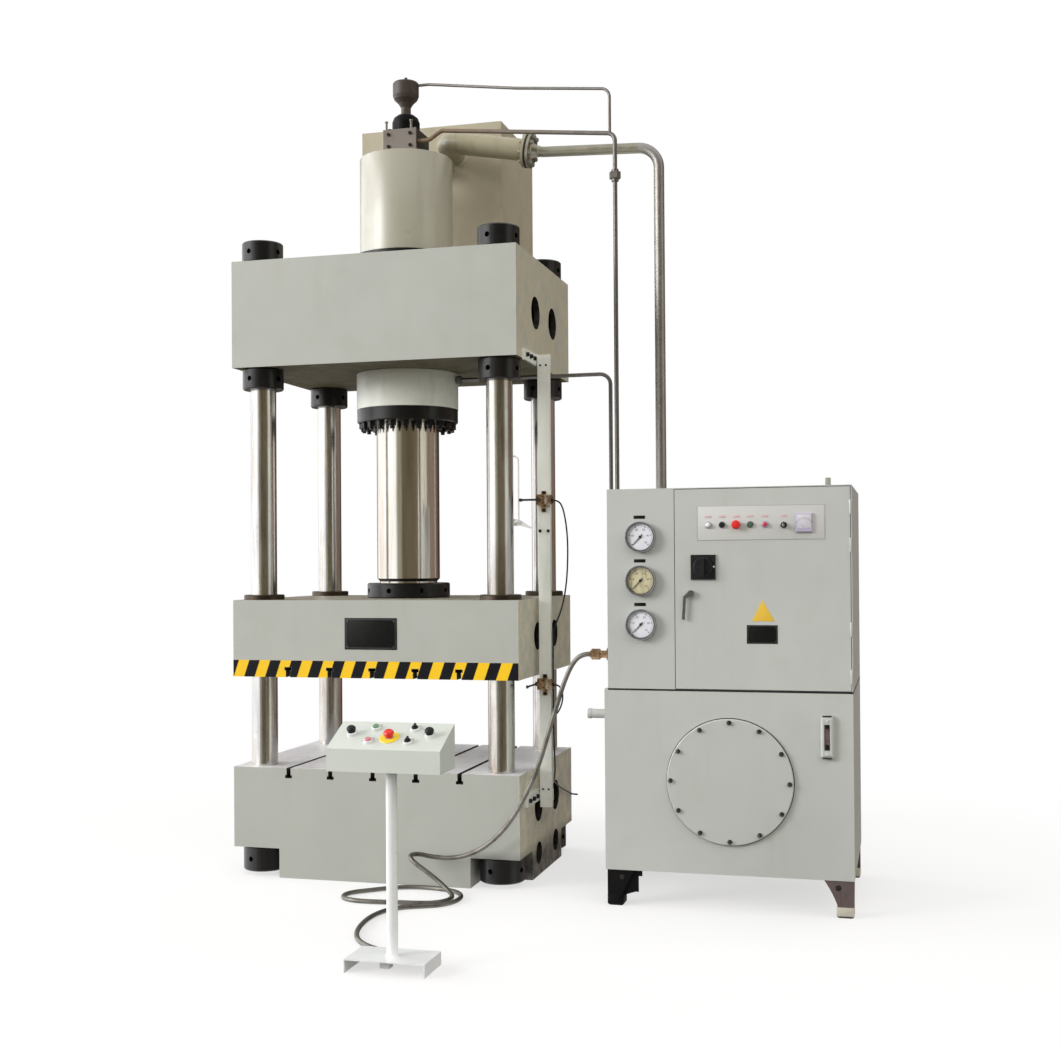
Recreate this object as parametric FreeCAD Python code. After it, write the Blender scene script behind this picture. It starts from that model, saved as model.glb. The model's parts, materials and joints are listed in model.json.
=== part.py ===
"""Four-column hydraulic press with its power cabinet and its push-button stand.

Millimetres. The origin is on the floor under the ram's axis: +X points to the cabinet,
-Y to the operator and +Z up. Each function makes one separate piece of the machine.
"""
import FreeCAD, Part
import math
import os

os.makedirs("parts", exist_ok=True)

Vec = FreeCAD.Vector
RIGHT = Vec(1, 0, 0)
BACK = Vec(0, 1, 0)
UP = Vec(0, 0, 1)

# ---------------------------------------------------------------- driving dimensions
# Press frame: bed, slide and crown share one outline
FRAME_W = 1500.0
FRAME_D = 1070.0
BED_TOP = 550.0
BED_STEP = 146.0            # the bed's corners are cut away below this height
BED_BLOCK_W = 1004.0        # what stands on the floor, front to back
BED_BLOCK_D = 590.0         # what stands on the floor, side to side
SLIDE_BOTTOM = 1006.0
SLIDE_H = 386.0
CROWN_BOTTOM = 2570.0
CROWN_H = 540.0
WALL = 30.0
RIB = 24.0

# Columns and their nuts
COLUMN_D = 130.0
COLUMN_X = 631.0
COLUMN_Y = 423.0
NUT_D = 208.0
NUT_H = 106.0
FOOT_NUT_D = 220.0
RUNNING = 0.05              # radial clearance of a running fit
FREE = 0.5                  # radial clearance of a bolted or clamped one

# T-slots of the table and of the slide
SLOT_COUNT = 5
SLOT_PITCH = 225.0
SLOT_NECK = 22.0
SLOT_HEAD = 37.0
SLOT_HEAD_H = 16.0
SLOT_DEPTH = 50.0
TABLE_PLATE = 90.0

# Main cylinder and ram
RAM_D = 330.0
PISTON_D = 344.0
CYLINDER_D = 490.0
SHOULDER_D = 536.0
SHOULDER_BOTTOM = 2383.0
CYLINDER_TOP = 3735.0
GLAND_H = 70.0
GLAND_BOLTS = 22
RING_D = 435.0
RING_H = 78.0

# Valve block, fill tank and pipework
BLOCK_W = 186.0
BLOCK_D = 206.0
BLOCK_H = 117.0
TANK_W = 820.0
TANK_FRONT = 400.0
TANK_BACK = 1060.0
TANK_TOP = 4010.0
SHEET = 6.0
FILL_D = 114.0
FLANGE_D = 182.0
MAIN_D = 54.0
PRESSURE_D = 22.0
PILOT_D = 15.0
RETURN_D = 20.0

# Limit-switch rail
RAIL_X = 770.0
RAIL_W = 60.0
RAIL_FRONT = -220.0
RAIL_D = 30.0
RAIL_BOTTOM = 350.0
RAIL_TOP = 2600.0
SWITCH_Z = (1884.0, 968.0)
LEVER_Y = -270.0
STRIKER_X = 681.8
LEAD_D = 8.0

# Power cabinet
CAB_LEFT = 1222.0
CAB_RIGHT = 2318.0
CAB_FRONT = -700.0
CAB_BACK = 200.0
OIL_LEFT = 1205.0
OIL_BOTTOM = 165.0
OIL_TOP = 990.0
CAB_TOP = 1905.0
CAB_SHEET = 4.0
DOOR_LEFT = 1532.0
DOOR_GAP = 3.0
DOOR_D = 25.0
MANHOLE_AT = Vec(1776, CAB_FRONT, 583)
MANHOLE_D = 566.0
GAUGE_AT = (Vec(1380, CAB_FRONT, 1685), Vec(1380, CAB_FRONT, 1486), Vec(1380, CAB_FRONT, 1287))
GAUGE_D = 140.0
GAUGE_DEPTH = 34.0
PANEL_ROW_Z = 1735.0
KNOB_AT = Vec(1664, CAB_FRONT, 1546)
HANDLE_AT = Vec(1607, CAB_FRONT, 1427)
GLAND_AT = Vec(CAB_LEFT, -670, 1147)

# Push-button stand
STAND_X = 611.0
STAND_Y = -1880.0
CONSOLE_W = 464.0
CONSOLE_FRONT = -1976.0
CONSOLE_BACK = -1796.0
CONSOLE_BOTTOM = 772.0
CONSOLE_LIP = 860.0         # top of the console's front face
CONSOLE_CREST = 945.0       # top of its rear face
POST_D = 44.0
FOOT_W = 330.0
FOOT_H = 52.0
CONDUIT_D = 22.0


# ---------------------------------------------------------------- small helpers
def save(name, *solids):
    """Write one piece, or a group of identical ones, as parts/NAME.step."""
    shape = solids[0] if len(solids) == 1 else Part.makeCompound(list(solids))
    shape.exportStep("parts/" + name + ".step")


def box(x0, x1, y0, y1, z0, z1):
    """Block between two opposite corners."""
    return Part.makeBox(x1 - x0, y1 - y0, z1 - z0, Vec(x0, y0, z0))


def rod(radius, length, base, direction=UP):
    """Round bar from its base centre along a direction."""
    return Part.makeCylinder(radius, length, base, direction)


def ring(outer, inner, length, base, direction=UP):
    """Round bar with a through bore; radii."""
    return rod(outer, length, base, direction).cut(rod(inner, length, base, direction))


def turned(profile, base=Vec(0, 0, 0)):
    """Turned piece: (radius, height) corners revolved about the vertical through base."""
    points = [Vec(r, 0, z) for r, z in profile]
    face = Part.Face(Part.makePolygon(points + points[:1]))
    solid = face.revolve(Vec(0, 0, 0), UP, 360)
    solid.translate(base)
    return solid


def turned_forward(profile, centre):
    """Turned knob whose axis runs to the operator: (radius, distance in front) corners."""
    solid = turned(profile)
    solid.rotate(Vec(0, 0, 0), RIGHT, 90)
    solid.translate(centre)
    return solid


def plate(points, thickness):
    """Flat plate: a closed outline pushed through its thickness vector."""
    return Part.Face(Part.makePolygon(points + points[:1])).extrude(thickness)


def hexagon(across_flats, length, base, direction=UP):
    """Hexagon bar from its base centre along a direction."""
    corner = across_flats / math.sqrt(3)
    points = [Vec(corner * math.cos(math.radians(60 * i)), corner * math.sin(math.radians(60 * i)), 0)
              for i in range(6)]
    solid = plate(points, Vec(0, 0, length))
    solid.Placement = FreeCAD.Placement(base, FreeCAD.Rotation(UP, direction))
    return solid


def fuse(*solids):
    """One welded or cast piece out of several shapes."""
    return solids[0].multiFuse(list(solids[1:])).removeSplitter()


def unit(vector):
    return vector * (1.0 / vector.Length)


def path(points, radius=None):
    """Straight runs joined by tangent arcs; with no radius each bend takes what its runs allow."""
    edges = []
    start = points[0]
    for before, corner, after in zip(points, points[1:], points[2:]):
        into = unit(corner - before)
        out = unit(after - corner)
        half_turn = math.acos(max(-1.0, min(1.0, into.dot(out)))) / 2
        shorter = min((corner - before).Length, (after - corner).Length)
        bend = radius if radius else 0.45 * shorter / math.tan(half_turn)
        reach = bend * math.tan(half_turn)
        first = corner - into * reach
        last = corner + out * reach
        inward = unit(out - into)
        centre = corner + inward * (bend / math.cos(half_turn))
        middle = centre - inward * bend
        edges.append(Part.LineSegment(start, first).toShape())
        edges.append(Part.Arc(first, middle, last).toShape())
        start = last
    edges.append(Part.LineSegment(start, points[-1]).toShape())
    return Part.Wire(edges)


def tube(points, diameter, radius=None):
    """Round bar swept along a path: a bent pipe or a lying cord."""
    section = Part.Wire(Part.makeCircle(diameter / 2, points[0], unit(points[1] - points[0])))
    return path(points, radius).makePipeShell([section], True, False)


def corners(x, y, z=0.0):
    """The four corners of a rectangle centred on the ram's axis."""
    return [Vec(sx * x, sy * y, z) for sx in (-1, 1) for sy in (-1, 1)]


def slot_centres():
    first = -(SLOT_COUNT - 1) / 2 * SLOT_PITCH
    return [first + i * SLOT_PITCH for i in range(SLOT_COUNT)]


def t_slots(surface_z, inward):
    """The row of T-slots cut into a face at surface_z; inward is +1 to cut upwards, -1 down."""
    cuts = []
    depth = inward * SLOT_DEPTH
    head = depth - inward * SLOT_HEAD_H
    half_d = FRAME_D / 2 + 1
    for x in slot_centres():
        low, high = sorted((surface_z - inward, surface_z + depth))
        cuts.append(box(x - SLOT_NECK / 2, x + SLOT_NECK / 2, -half_d, half_d, low, high))
        low, high = sorted((surface_z + head, surface_z + depth))
        cuts.append(box(x - SLOT_HEAD / 2, x + SLOT_HEAD / 2, -half_d, half_d, low, high))
    return cuts


def side_holes(diameter, z, spread=172.0):
    """Cross bores through both side walls of a frame box, in front of and behind the axis."""
    length = FRAME_W + 2
    return [rod(diameter / 2, length, Vec(-length / 2, y, z), RIGHT) for y in (-spread, spread)]


def cells(rib_lines, z0, z1, half_w, half_d):
    """Hollows between the ribs of a welded box, each cell split by the rib across the middle."""
    edges = [-half_w] + [x + side for x in rib_lines for side in (-RIB / 2, RIB / 2)] + [half_w]
    hollows = []
    for left, right in zip(edges[::2], edges[1::2]):
        hollows.append(box(left, right, -half_d, -RIB / 2, z0, z1))
        hollows.append(box(left, right, RIB / 2, half_d, z0, z1))
    return hollows


def hollowed(body, hollows, bosses):
    """Body less its hollows, which leave the bosses standing."""
    for hollow in hollows:
        for boss in bosses:
            if hollow.BoundBox.intersect(boss.BoundBox):
                hollow = hollow.cut(boss)
        body = body.cut(hollow)
    return body


# ---------------------------------------------------------------- press frame
def bed():
    """Welded table: T-slotted plate on a ribbed box whose four lower corners are cut away."""
    half_w = FRAME_W / 2
    half_d = FRAME_D / 2
    body = fuse(
        box(-half_w, half_w, -half_d, half_d, BED_STEP, BED_TOP),
        box(-BED_BLOCK_W / 2, BED_BLOCK_W / 2, -half_d, half_d, 0, BED_STEP),
        box(-half_w, half_w, -BED_BLOCK_D / 2, BED_BLOCK_D / 2, 0, BED_STEP),
    )
    ribs = (-480.0, -160.0, 160.0, 480.0)
    ceiling = BED_TOP - TABLE_PLATE
    hollows = cells(ribs, BED_STEP + WALL, ceiling, half_w - WALL, half_d - WALL)
    hollows += cells(ribs[1:3], WALL, BED_STEP + WALL, ribs[3] - RIB / 2, half_d - WALL)
    for side in (-1, 1):
        left, right = sorted((side * (ribs[3] + RIB / 2), side * (half_w - WALL)))
        hollows.append(box(left, right, RIB / 2, BED_BLOCK_D / 2 - WALL, WALL, BED_STEP + WALL))
        hollows.append(box(left, right, WALL - BED_BLOCK_D / 2, -RIB / 2, WALL, BED_STEP + WALL))
    bosses = [rod(100, BED_TOP - BED_STEP, at) for at in corners(COLUMN_X, COLUMN_Y, BED_STEP)]
    body = hollowed(body, hollows, bosses)
    for at in corners(COLUMN_X, COLUMN_Y, BED_STEP):
        body = body.cut(rod(COLUMN_D / 2 + FREE, BED_TOP - BED_STEP, at))
    for cut in t_slots(BED_TOP, -1) + side_holes(155, 348) + side_holes(112, 112):
        body = body.cut(cut)
    return body


def crown():
    """Welded top beam: a ribbed box with the cylinder's seat and four column bosses."""
    half_w = FRAME_W / 2
    half_d = FRAME_D / 2
    body = box(-half_w, half_w, -half_d, half_d, CROWN_BOTTOM, CROWN_BOTTOM + CROWN_H)
    hollows = cells((-300.0, 300.0), CROWN_BOTTOM + 60, CROWN_BOTTOM + CROWN_H - 60,
                    half_w - WALL, half_d - WALL)
    bosses = [rod(105, CROWN_H, at) for at in corners(COLUMN_X, COLUMN_Y, CROWN_BOTTOM)]
    bosses.append(rod(CYLINDER_D / 2 + 45, CROWN_H, Vec(0, 0, CROWN_BOTTOM)))
    body = hollowed(body, hollows, bosses)
    body = body.cut(rod(CYLINDER_D / 2 + FREE, CROWN_H, Vec(0, 0, CROWN_BOTTOM)))
    for at in corners(COLUMN_X, COLUMN_Y, CROWN_BOTTOM):
        body = body.cut(rod(COLUMN_D / 2 + FREE, CROWN_H, at))
    for cut in side_holes(165, CROWN_BOTTOM + 262):
        body = body.cut(cut)
    return body


def slide():
    """Moving platen: a ribbed box, T-slotted underneath, bored for the guide bushes."""
    half_w = FRAME_W / 2
    half_d = FRAME_D / 2
    top = SLIDE_BOTTOM + SLIDE_H
    body = box(-half_w, half_w, -half_d, half_d, SLIDE_BOTTOM, top)
    hollows = cells((-480.0, -240.0, 240.0, 480.0), SLIDE_BOTTOM + TABLE_PLATE, top - 50,
                    half_w - WALL, half_d - WALL)
    bosses = [rod(110, SLIDE_H, at) for at in corners(COLUMN_X, COLUMN_Y, SLIDE_BOTTOM)]
    bosses.append(rod(RING_D / 2, SLIDE_H, Vec(0, 0, SLIDE_BOTTOM)))
    body = hollowed(body, hollows, bosses)
    for at in corners(COLUMN_X, COLUMN_Y, SLIDE_BOTTOM):
        body = body.cut(rod(BUSH_R, SLIDE_H, at))
    for cut in t_slots(SLIDE_BOTTOM, 1) + side_holes(140, SLIDE_BOTTOM + 196):
        body = body.cut(cut)
    return body


BUSH_R = 82.0
BUSH_FLANGE_R = 102.5
BUSH_FLANGE_H = 25.0


def guide_bushes():
    """Bronze sleeves, one a column, with a flange on the slide's top."""
    top = SLIDE_BOTTOM + SLIDE_H
    bore = COLUMN_D / 2 + RUNNING
    profile = [(bore, SLIDE_BOTTOM + 12), (BUSH_R, SLIDE_BOTTOM + 12), (BUSH_R, top), (BUSH_FLANGE_R, top),
               (BUSH_FLANGE_R, top + BUSH_FLANGE_H - 4), (BUSH_FLANGE_R - 4, top + BUSH_FLANGE_H),
               (bore, top + BUSH_FLANGE_H)]
    return [turned(profile, at) for at in corners(COLUMN_X, COLUMN_Y)]


def columns():
    """Ground round columns from the foot nuts to the crown nuts."""
    radius = COLUMN_D / 2
    low = 30.0
    high = CROWN_BOTTOM + CROWN_H + NUT_H - 8
    profile = [(0, low), (radius - 5, low), (radius, low + 5), (radius, high - 5), (radius - 5, high), (0, high)]
    return [turned(profile, at) for at in corners(COLUMN_X, COLUMN_Y)]


def spanner_nut(diameter, height, bore, base, holes=4):
    """Round nut with chamfered rims and blind spanner holes round its side."""
    outer = diameter / 2
    edge = 6.0
    nut = turned([(bore, 0), (outer - edge, 0), (outer, edge), (outer, height - edge),
                  (outer - edge, height), (bore, height)])
    for i in range(holes):
        angle = math.radians(360 / holes * (i + 0.82))
        outward = Vec(math.cos(angle), math.sin(angle), 0)
        nut = nut.cut(rod(13, 30, outward * (outer - 24) + Vec(0, 0, height / 2), outward))
    nut.translate(base)
    return nut


def crown_nuts():
    """Eight equal nuts that clamp the crown from above and from below."""
    bore = COLUMN_D / 2 + FREE
    above = corners(COLUMN_X, COLUMN_Y, CROWN_BOTTOM + CROWN_H)
    below = corners(COLUMN_X, COLUMN_Y, CROWN_BOTTOM - NUT_H)
    return [spanner_nut(NUT_D, NUT_H, bore, at) for at in above + below]


def foot_nuts():
    """Nuts under the bed's cut-away corners."""
    height = 124.0
    return [spanner_nut(FOOT_NUT_D, height, COLUMN_D / 2 + FREE, at)
            for at in corners(COLUMN_X, COLUMN_Y, BED_STEP - height)]


# ---------------------------------------------------------------- main cylinder
GROOVE_R = CYLINDER_D / 2 - 23
GROOVE_TOP = CROWN_BOTTOM + CROWN_H + 85


def main_cylinder():
    """Forged cylinder: shoulder under the crown, ring groove above it, closed top."""
    bore = PISTON_D / 2
    outer = CYLINDER_D / 2
    crown_top = CROWN_BOTTOM + CROWN_H
    return turned([
        (bore, SHOULDER_BOTTOM), (SHOULDER_D / 2, SHOULDER_BOTTOM), (SHOULDER_D / 2, CROWN_BOTTOM),
        (outer, CROWN_BOTTOM), (outer, crown_top), (GROOVE_R, crown_top), (GROOVE_R, GROOVE_TOP),
        (outer, GROOVE_TOP), (outer, CYLINDER_TOP - 32), (outer - 32, CYLINDER_TOP),
        (0, CYLINDER_TOP), (0, CYLINDER_TOP - 135), (bore, CYLINDER_TOP - 135)])


def cylinder_ring():
    """Split ring in the cylinder's groove, in two halves, that holds it down on the crown."""
    base = Vec(0, 0, CROWN_BOTTOM + CROWN_H)
    whole = ring(280, GROOVE_R + FREE, 78, base)
    parting = box(-1, 1, -300, 300, base.z - 1, base.z + 80)
    return whole.cut(parting).Solids


def ram():
    """Chromed plunger with its piston head above and a chamfered foot on the slide."""
    foot = SLIDE_BOTTOM + SLIDE_H
    radius = RAM_D / 2
    neck = radius - 14
    return turned([
        (0, foot), (neck, foot), (neck, foot + RING_H + 8), (radius, foot + RING_H + 24), (radius, 2980),
        (PISTON_D / 2 - RUNNING, 2980), (PISTON_D / 2 - RUNNING, 3130), (0, 3130)])


def ram_ring():
    """Black spanner ring that holds the ram's foot down on the slide."""
    return spanner_nut(RING_D, RING_H, RAM_D / 2 - 14 + FREE, Vec(0, 0, SLIDE_BOTTOM + SLIDE_H), 8)


def gland_ring():
    """Black pressure ring under the cylinder's shoulder."""
    outer = SHOULDER_D / 2 - 2
    low = SHOULDER_BOTTOM - GLAND_H
    return turned([(RAM_D / 2 + 1, low), (outer - 5, low), (outer, low + 5), (outer, SHOULDER_BOTTOM),
                   (RAM_D / 2 + 1, SHOULDER_BOTTOM)])


def gland_bolts():
    """Stud ends and hexagon nuts that hang below the gland ring."""
    low = SHOULDER_BOTTOM - GLAND_H
    bolts = []
    for i in range(GLAND_BOLTS):
        angle = 2 * math.pi * (i + 0.5) / GLAND_BOLTS
        at = Vec(236 * math.cos(angle), 236 * math.sin(angle), low)
        bolts.append(fuse(hexagon(36, 24, at, -UP), rod(11, 72, at, -UP)))
    return bolts


def gland_packing():
    """Stack of seal rings between the cylinder's mouth and the ram."""
    return [ring(PISTON_D / 2 - 0.2, RAM_D / 2 + 0.1, 46, Vec(0, 0, SHOULDER_BOTTOM + 6 + 50 * i))
            for i in range(3)]


# ---------------------------------------------------------------- valve block and fill tank
BLOCK_TOP = CYLINDER_TOP + BLOCK_H


def head_block():
    """Drilled steel block bolted on the cylinder, with two lifting pins."""
    half_w = BLOCK_W / 2
    half_d = BLOCK_D / 2
    body = box(-half_w, half_w, -half_d, half_d, CYLINDER_TOP, BLOCK_TOP)
    body = body.makeChamfer(3, [edge for edge in body.Edges if edge.BoundBox.ZLength > 1])
    pins = [rod(6, 48, Vec(x, -86, BLOCK_TOP)) for x in (-78, 60)]
    heads = [rod(9, 7, Vec(x, -86, BLOCK_TOP + 41)) for x in (-78, 60)]
    return fuse(body, *pins, *heads)


DOME_H = 98.0


def pilot_valve():
    """Prefill valve's domed cover with the funnel-shaped pilot head cast on it, its lid and stud."""
    foot = BLOCK_TOP + DOME_H
    return turned([(0, BLOCK_TOP), (73, BLOCK_TOP), (73, BLOCK_TOP + 58), (64, BLOCK_TOP + 82),
                   (44, foot), (36, foot), (26, foot + 10), (26, foot + 42), (40, foot + 64), (62, foot + 86),
                   (69, foot + 104), (69, foot + 168), (62, foot + 176), (18, foot + 182), (8, foot + 182),
                   (8, foot + 203), (0, foot + 203)])


def fill_tank():
    """Sheet-steel tank behind the cylinder, with its outlet duct and two gussets on the crown's rear."""
    half_w = TANK_W / 2
    floor = CROWN_BOTTOM + CROWN_H
    back = FRAME_D / 2
    shell = box(-half_w, half_w, TANK_FRONT, TANK_BACK, floor, TANK_TOP)
    inside = box(SHEET - half_w, half_w - SHEET, TANK_FRONT + SHEET, TANK_BACK - SHEET, floor + SHEET,
                 TANK_TOP - SHEET)
    duct = rod(45, TANK_FRONT - BLOCK_D / 2, Vec(0, BLOCK_D / 2, BLOCK_TOP - 58), BACK)
    bore = rod(39, TANK_FRONT - BLOCK_D / 2 + 20, Vec(0, BLOCK_D / 2, BLOCK_TOP - 58), BACK)
    gussets = [plate([Vec(x, back, floor - 320), Vec(x, TANK_BACK, floor - 40), Vec(x, TANK_BACK, floor),
                      Vec(x, back, floor)], Vec(14, 0, 0)) for x in (-307, 293)]
    return fuse(shell.cut(inside), duct, *gussets).cut(bore)


# ---------------------------------------------------------------- pipework
FILL_Y = 150.0              # both wide pipes run behind the valve block
FILL_START = Vec(150, TANK_FRONT, 3843)
FILL_BEND = Vec(150, FILL_Y, 3843)
FILL_END = Vec(613, FILL_Y, 3760)
FLANGE_T = 18.0
GASKET = 5.0
FILL_AXIS = unit(FILL_END - FILL_BEND)
MAIN_BEND = Vec(1330, FILL_Y, 3715)
PRESSURE_BEND = Vec(1160, -150, 3713)
PRESSURE_ENTRY = 1760.0     # heights at which the thin pipes enter the cabinet's left side
RETURN_ENTRY = 1700.0
RETURN_X = 1098.0


def fill_pipe():
    """Wide pipe out of the tank's front, round an elbow and down a little to its flange."""
    return fuse(tube([FILL_START, FILL_BEND, FILL_END], FILL_D, 120),
                rod(FLANGE_D / 2, FLANGE_T, FILL_END, FILL_AXIS))


def main_pipe():
    """Bent steel pipe from the counter flange down through the cabinet's roof."""
    face = FILL_END + FILL_AXIS * (FLANGE_T + GASKET)
    start = face + FILL_AXIS * FLANGE_T
    route = [start, start + FILL_AXIS * 60, MAIN_BEND, Vec(MAIN_BEND.x, FILL_Y, CAB_TOP)]
    gasket = rod(58, GASKET, FILL_END + FILL_AXIS * FLANGE_T, FILL_AXIS)
    flange = rod(FLANGE_D / 2, FLANGE_T, face, FILL_AXIS)
    neck = Part.makeCone(44, MAIN_D / 2, 34, start, FILL_AXIS)
    return fuse(gasket, flange, neck, tube(route, MAIN_D, 110))


def pressure_pipe():
    """High-pressure pipe from the block's side into the cabinet's side, with its screwed union."""
    side = BLOCK_W / 2
    foot = Vec(PRESSURE_BEND.x, PRESSURE_BEND.y, PRESSURE_ENTRY)
    route = [Vec(side, -72, 3788), Vec(side + 60, -72, 3788), Vec(222, -74, 3831), PRESSURE_BEND,
             foot, Vec(CAB_LEFT, foot.y, foot.z)]
    below = PRESSURE_BEND - Vec(0, 0, 228)
    union = hexagon(50, 34, below)
    collar = rod(18, 60, below - Vec(0, 0, 13))
    return fuse(tube(route, PRESSURE_D, 42), union, collar)


def pilot_pipe():
    """Thin pipe from the bowl that drops into the pressure pipe's bend."""
    bowl_side = Vec(69, 0, BLOCK_TOP + DOME_H + 156)
    drop = PRESSURE_BEND - Vec(26, 0, 0)
    return tube([bowl_side, bowl_side + Vec(60, 0, 0), Vec(633, -80, 4012), drop + Vec(0, 0, 226), drop],
                PILOT_D, 48)


def return_pipe():
    """Pipe from the cylinder's shoulder, under the crown, into the cabinet's side."""
    z = 2533.0
    start = Vec(SHOULDER_D / 2, 0, z)
    route = [start, Vec(RETURN_X, 0, z), Vec(RETURN_X, 0, RETURN_ENTRY), Vec(CAB_LEFT, 0, RETURN_ENTRY)]
    return fuse(tube(route, RETURN_D, 55), hexagon(38, 26, start + Vec(6, 0, 0), RIGHT))


# ---------------------------------------------------------------- limit-switch rail
def rail_bracket(side_z):
    """Pad on the press's side with an arm that reaches behind the rail."""
    back = RAIL_FRONT + RAIL_D
    half_w = FRAME_W / 2
    pad = box(half_w, half_w + 14, -430, back, side_z, side_z + 56)
    arm = box(half_w, RAIL_X + RAIL_W, back, back + 10, side_z, side_z + 56)
    return fuse(pad, arm)


def switch_rail():
    """Upright channel on brackets beside the slide."""
    right = RAIL_X + RAIL_W
    back = RAIL_FRONT + RAIL_D
    bar = box(RAIL_X, right, RAIL_FRONT, back, RAIL_BOTTOM, RAIL_TOP)
    groove = box(RAIL_X + 5, right - 5, RAIL_FRONT + 5, back, RAIL_BOTTOM, RAIL_TOP)
    return fuse(bar.cut(groove), rail_bracket(CROWN_BOTTOM - 8), rail_bracket(382))


def switch_body(z):
    """Limit switch on its mounting plate: brass housing, grey cover and lead gland."""
    front = LEVER_Y - 4
    mount = box(788, 812, RAIL_FRONT - 4, RAIL_FRONT, z - 60, z + 46)
    housing = box(772, 812, front, RAIL_FRONT - 4, z - 27, z + 27)
    cover = box(812, 846, front + 4, RAIL_FRONT - 4, z - 23, z + 23)
    gland = rod(7, 12, Vec(846, -248, z - 4), RIGHT)
    return fuse(mount, housing, cover, gland)


ROLLER_R = 8.0
ROD_R = 4.5


def upper_lever():
    """Roller lever pointing at the striker rod: hub, arm and roller."""
    z = SWITCH_Z[0]
    tip = STRIKER_X + ROD_R + FREE + ROLLER_R
    front = LEVER_Y - 14
    hub = rod(11, 9.5, Vec(784, LEVER_Y - 4.5, z), -BACK)
    arm = box(tip, 784, front, front + 6, z - 5, z + 5)
    roller = rod(ROLLER_R, 20, Vec(tip, front, z), BACK)
    return fuse(hub, arm, roller)


def lower_lever():
    """Roller lever that reaches forward along the slide's side."""
    z = SWITCH_Z[1]
    x = 762.0
    hub = rod(11, 9.5, Vec(771.5, -262, z), -RIGHT)
    arm = box(x, x + 5, -430, -262, z - 4, z + 4)
    roller = rod(ROLLER_R, 9, Vec(x - 2, -430, z), RIGHT)
    return fuse(hub, arm, roller)


def striker():
    """Post on the slide with a bent trip rod and a pointer arm."""
    top = SLIDE_BOTTOM + SLIDE_H
    foot = box(606, 666, -292, -236, top, top + 10)
    post = box(630, 646, -276, -252, top, 2112)
    trip = tube([Vec(638, LEVER_Y, 2104), Vec(STRIKER_X, LEVER_Y, 2104), Vec(STRIKER_X, LEVER_Y, 1772),
                 Vec(638, LEVER_Y, 1772)], 2 * ROD_R, 24)
    bracket = box(638, 679, -258, -252, 1756, 1790)
    pointer = plate([Vec(679, -258, 1788), Vec(679, -258, 1758), Vec(748, -258, 1740), Vec(748, -258, 1746)],
                    Vec(0, 6, 0))
    return fuse(foot, post, trip, bracket, pointer)


UPPER_LEAD = [Vec(858, -248, 1880), Vec(880, -248, 1880), Vec(903, -248, 1848), Vec(918, -246, 1775),
              Vec(926, -244, 1690), Vec(926, -243, 1590), Vec(920, -240, 1490), Vec(905, -234, 1395),
              Vec(880, -225, 1315),
              Vec(852, -212, 1262), Vec(838, -202, 1190), Vec(836, -200, 1080), Vec(837, -200, 960),
              Vec(836, -201, 840), Vec(837, -200, 720), Vec(840, -196, 620), Vec(836, -170, 540),
              Vec(816, -108, 482), Vec(793, -25, 450), Vec(778, 70, 428), Vec(770, 170, 392),
              Vec(769, 275, 360), Vec(772, 370, 330), Vec(784, 440, 308), Vec(796, 484, 300),
              Vec(788, 510, 297), Vec(768, 518, 296), Vec(750, 518, 296)]

LOWER_LEAD = [Vec(858, -248, 964), Vec(874, -248, 964), Vec(892, -247, 942), Vec(897, -243, 902),
              Vec(887, -236, 862), Vec(868, -225, 828), Vec(848, -212, 810), Vec(830, -212, 810)]


# ---------------------------------------------------------------- power cabinet
def oil_tank():
    """Welded oil tank with a manhole in its front and a blind stub on its left side."""
    shell = box(OIL_LEFT, CAB_RIGHT, CAB_FRONT, CAB_BACK, OIL_BOTTOM, OIL_TOP)
    shell = shell.cut(box(OIL_LEFT + SHEET, CAB_RIGHT - SHEET, CAB_FRONT + SHEET, CAB_BACK - SHEET,
                          OIL_BOTTOM + SHEET, OIL_TOP - SHEET))
    shell = shell.cut(rod(MANHOLE_D / 2 - 50, 20, MANHOLE_AT - Vec(0, 10, 0), BACK))
    stub = rod(21, 86, Vec(OIL_LEFT, -640, 870), -RIGHT)
    return fuse(shell, stub)


def tank_leg(x, y, to_x, to_y):
    """Angle leg in one corner: two curved-edge plates; to_x and to_y point along the tank's sides."""
    pad_top = 48.0
    legs = []
    for along, across in ((Vec(to_x, 0, 0), Vec(0, to_y, 0)), (Vec(0, to_y, 0), Vec(to_x, 0, 0))):
        corner = Vec(x, y, 0)
        wide = 128.0
        narrow = 68.0
        outline = [Part.LineSegment(corner + UP * OIL_BOTTOM, corner + along * wide + UP * OIL_BOTTOM),
                   Part.Arc(corner + along * wide + UP * OIL_BOTTOM, corner + along * 88 + UP * 96,
                            corner + along * narrow + UP * pad_top),
                   Part.LineSegment(corner + along * narrow + UP * pad_top, corner + UP * pad_top),
                   Part.LineSegment(corner + UP * pad_top, corner + UP * OIL_BOTTOM)]
        face = Part.Face(Part.Wire([edge.toShape() for edge in outline]))
        legs.append(face.extrude(across * 10))
    slot = rod(13, 30, Vec(x + to_x * 66, y - to_y * 10, 132), BACK * to_y)
    foot = box(*sorted((x, x + to_x * 74)), *sorted((y, y + to_y * 74)), 0, pad_top)
    foot = foot.makeChamfer(8, [edge for edge in foot.Edges if edge.BoundBox.ZLength < 1
                                and edge.BoundBox.ZMin < 1])
    return fuse(*legs, foot).cut(slot)


def tank_legs():
    inset = 4.0
    return [tank_leg(OIL_LEFT + 8, CAB_FRONT + inset, 1, 1), tank_leg(CAB_RIGHT - inset, CAB_FRONT + inset, -1, 1),
            tank_leg(OIL_LEFT + 8, CAB_BACK - inset, 1, -1), tank_leg(CAB_RIGHT - inset, CAB_BACK - inset, -1, -1)]


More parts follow.
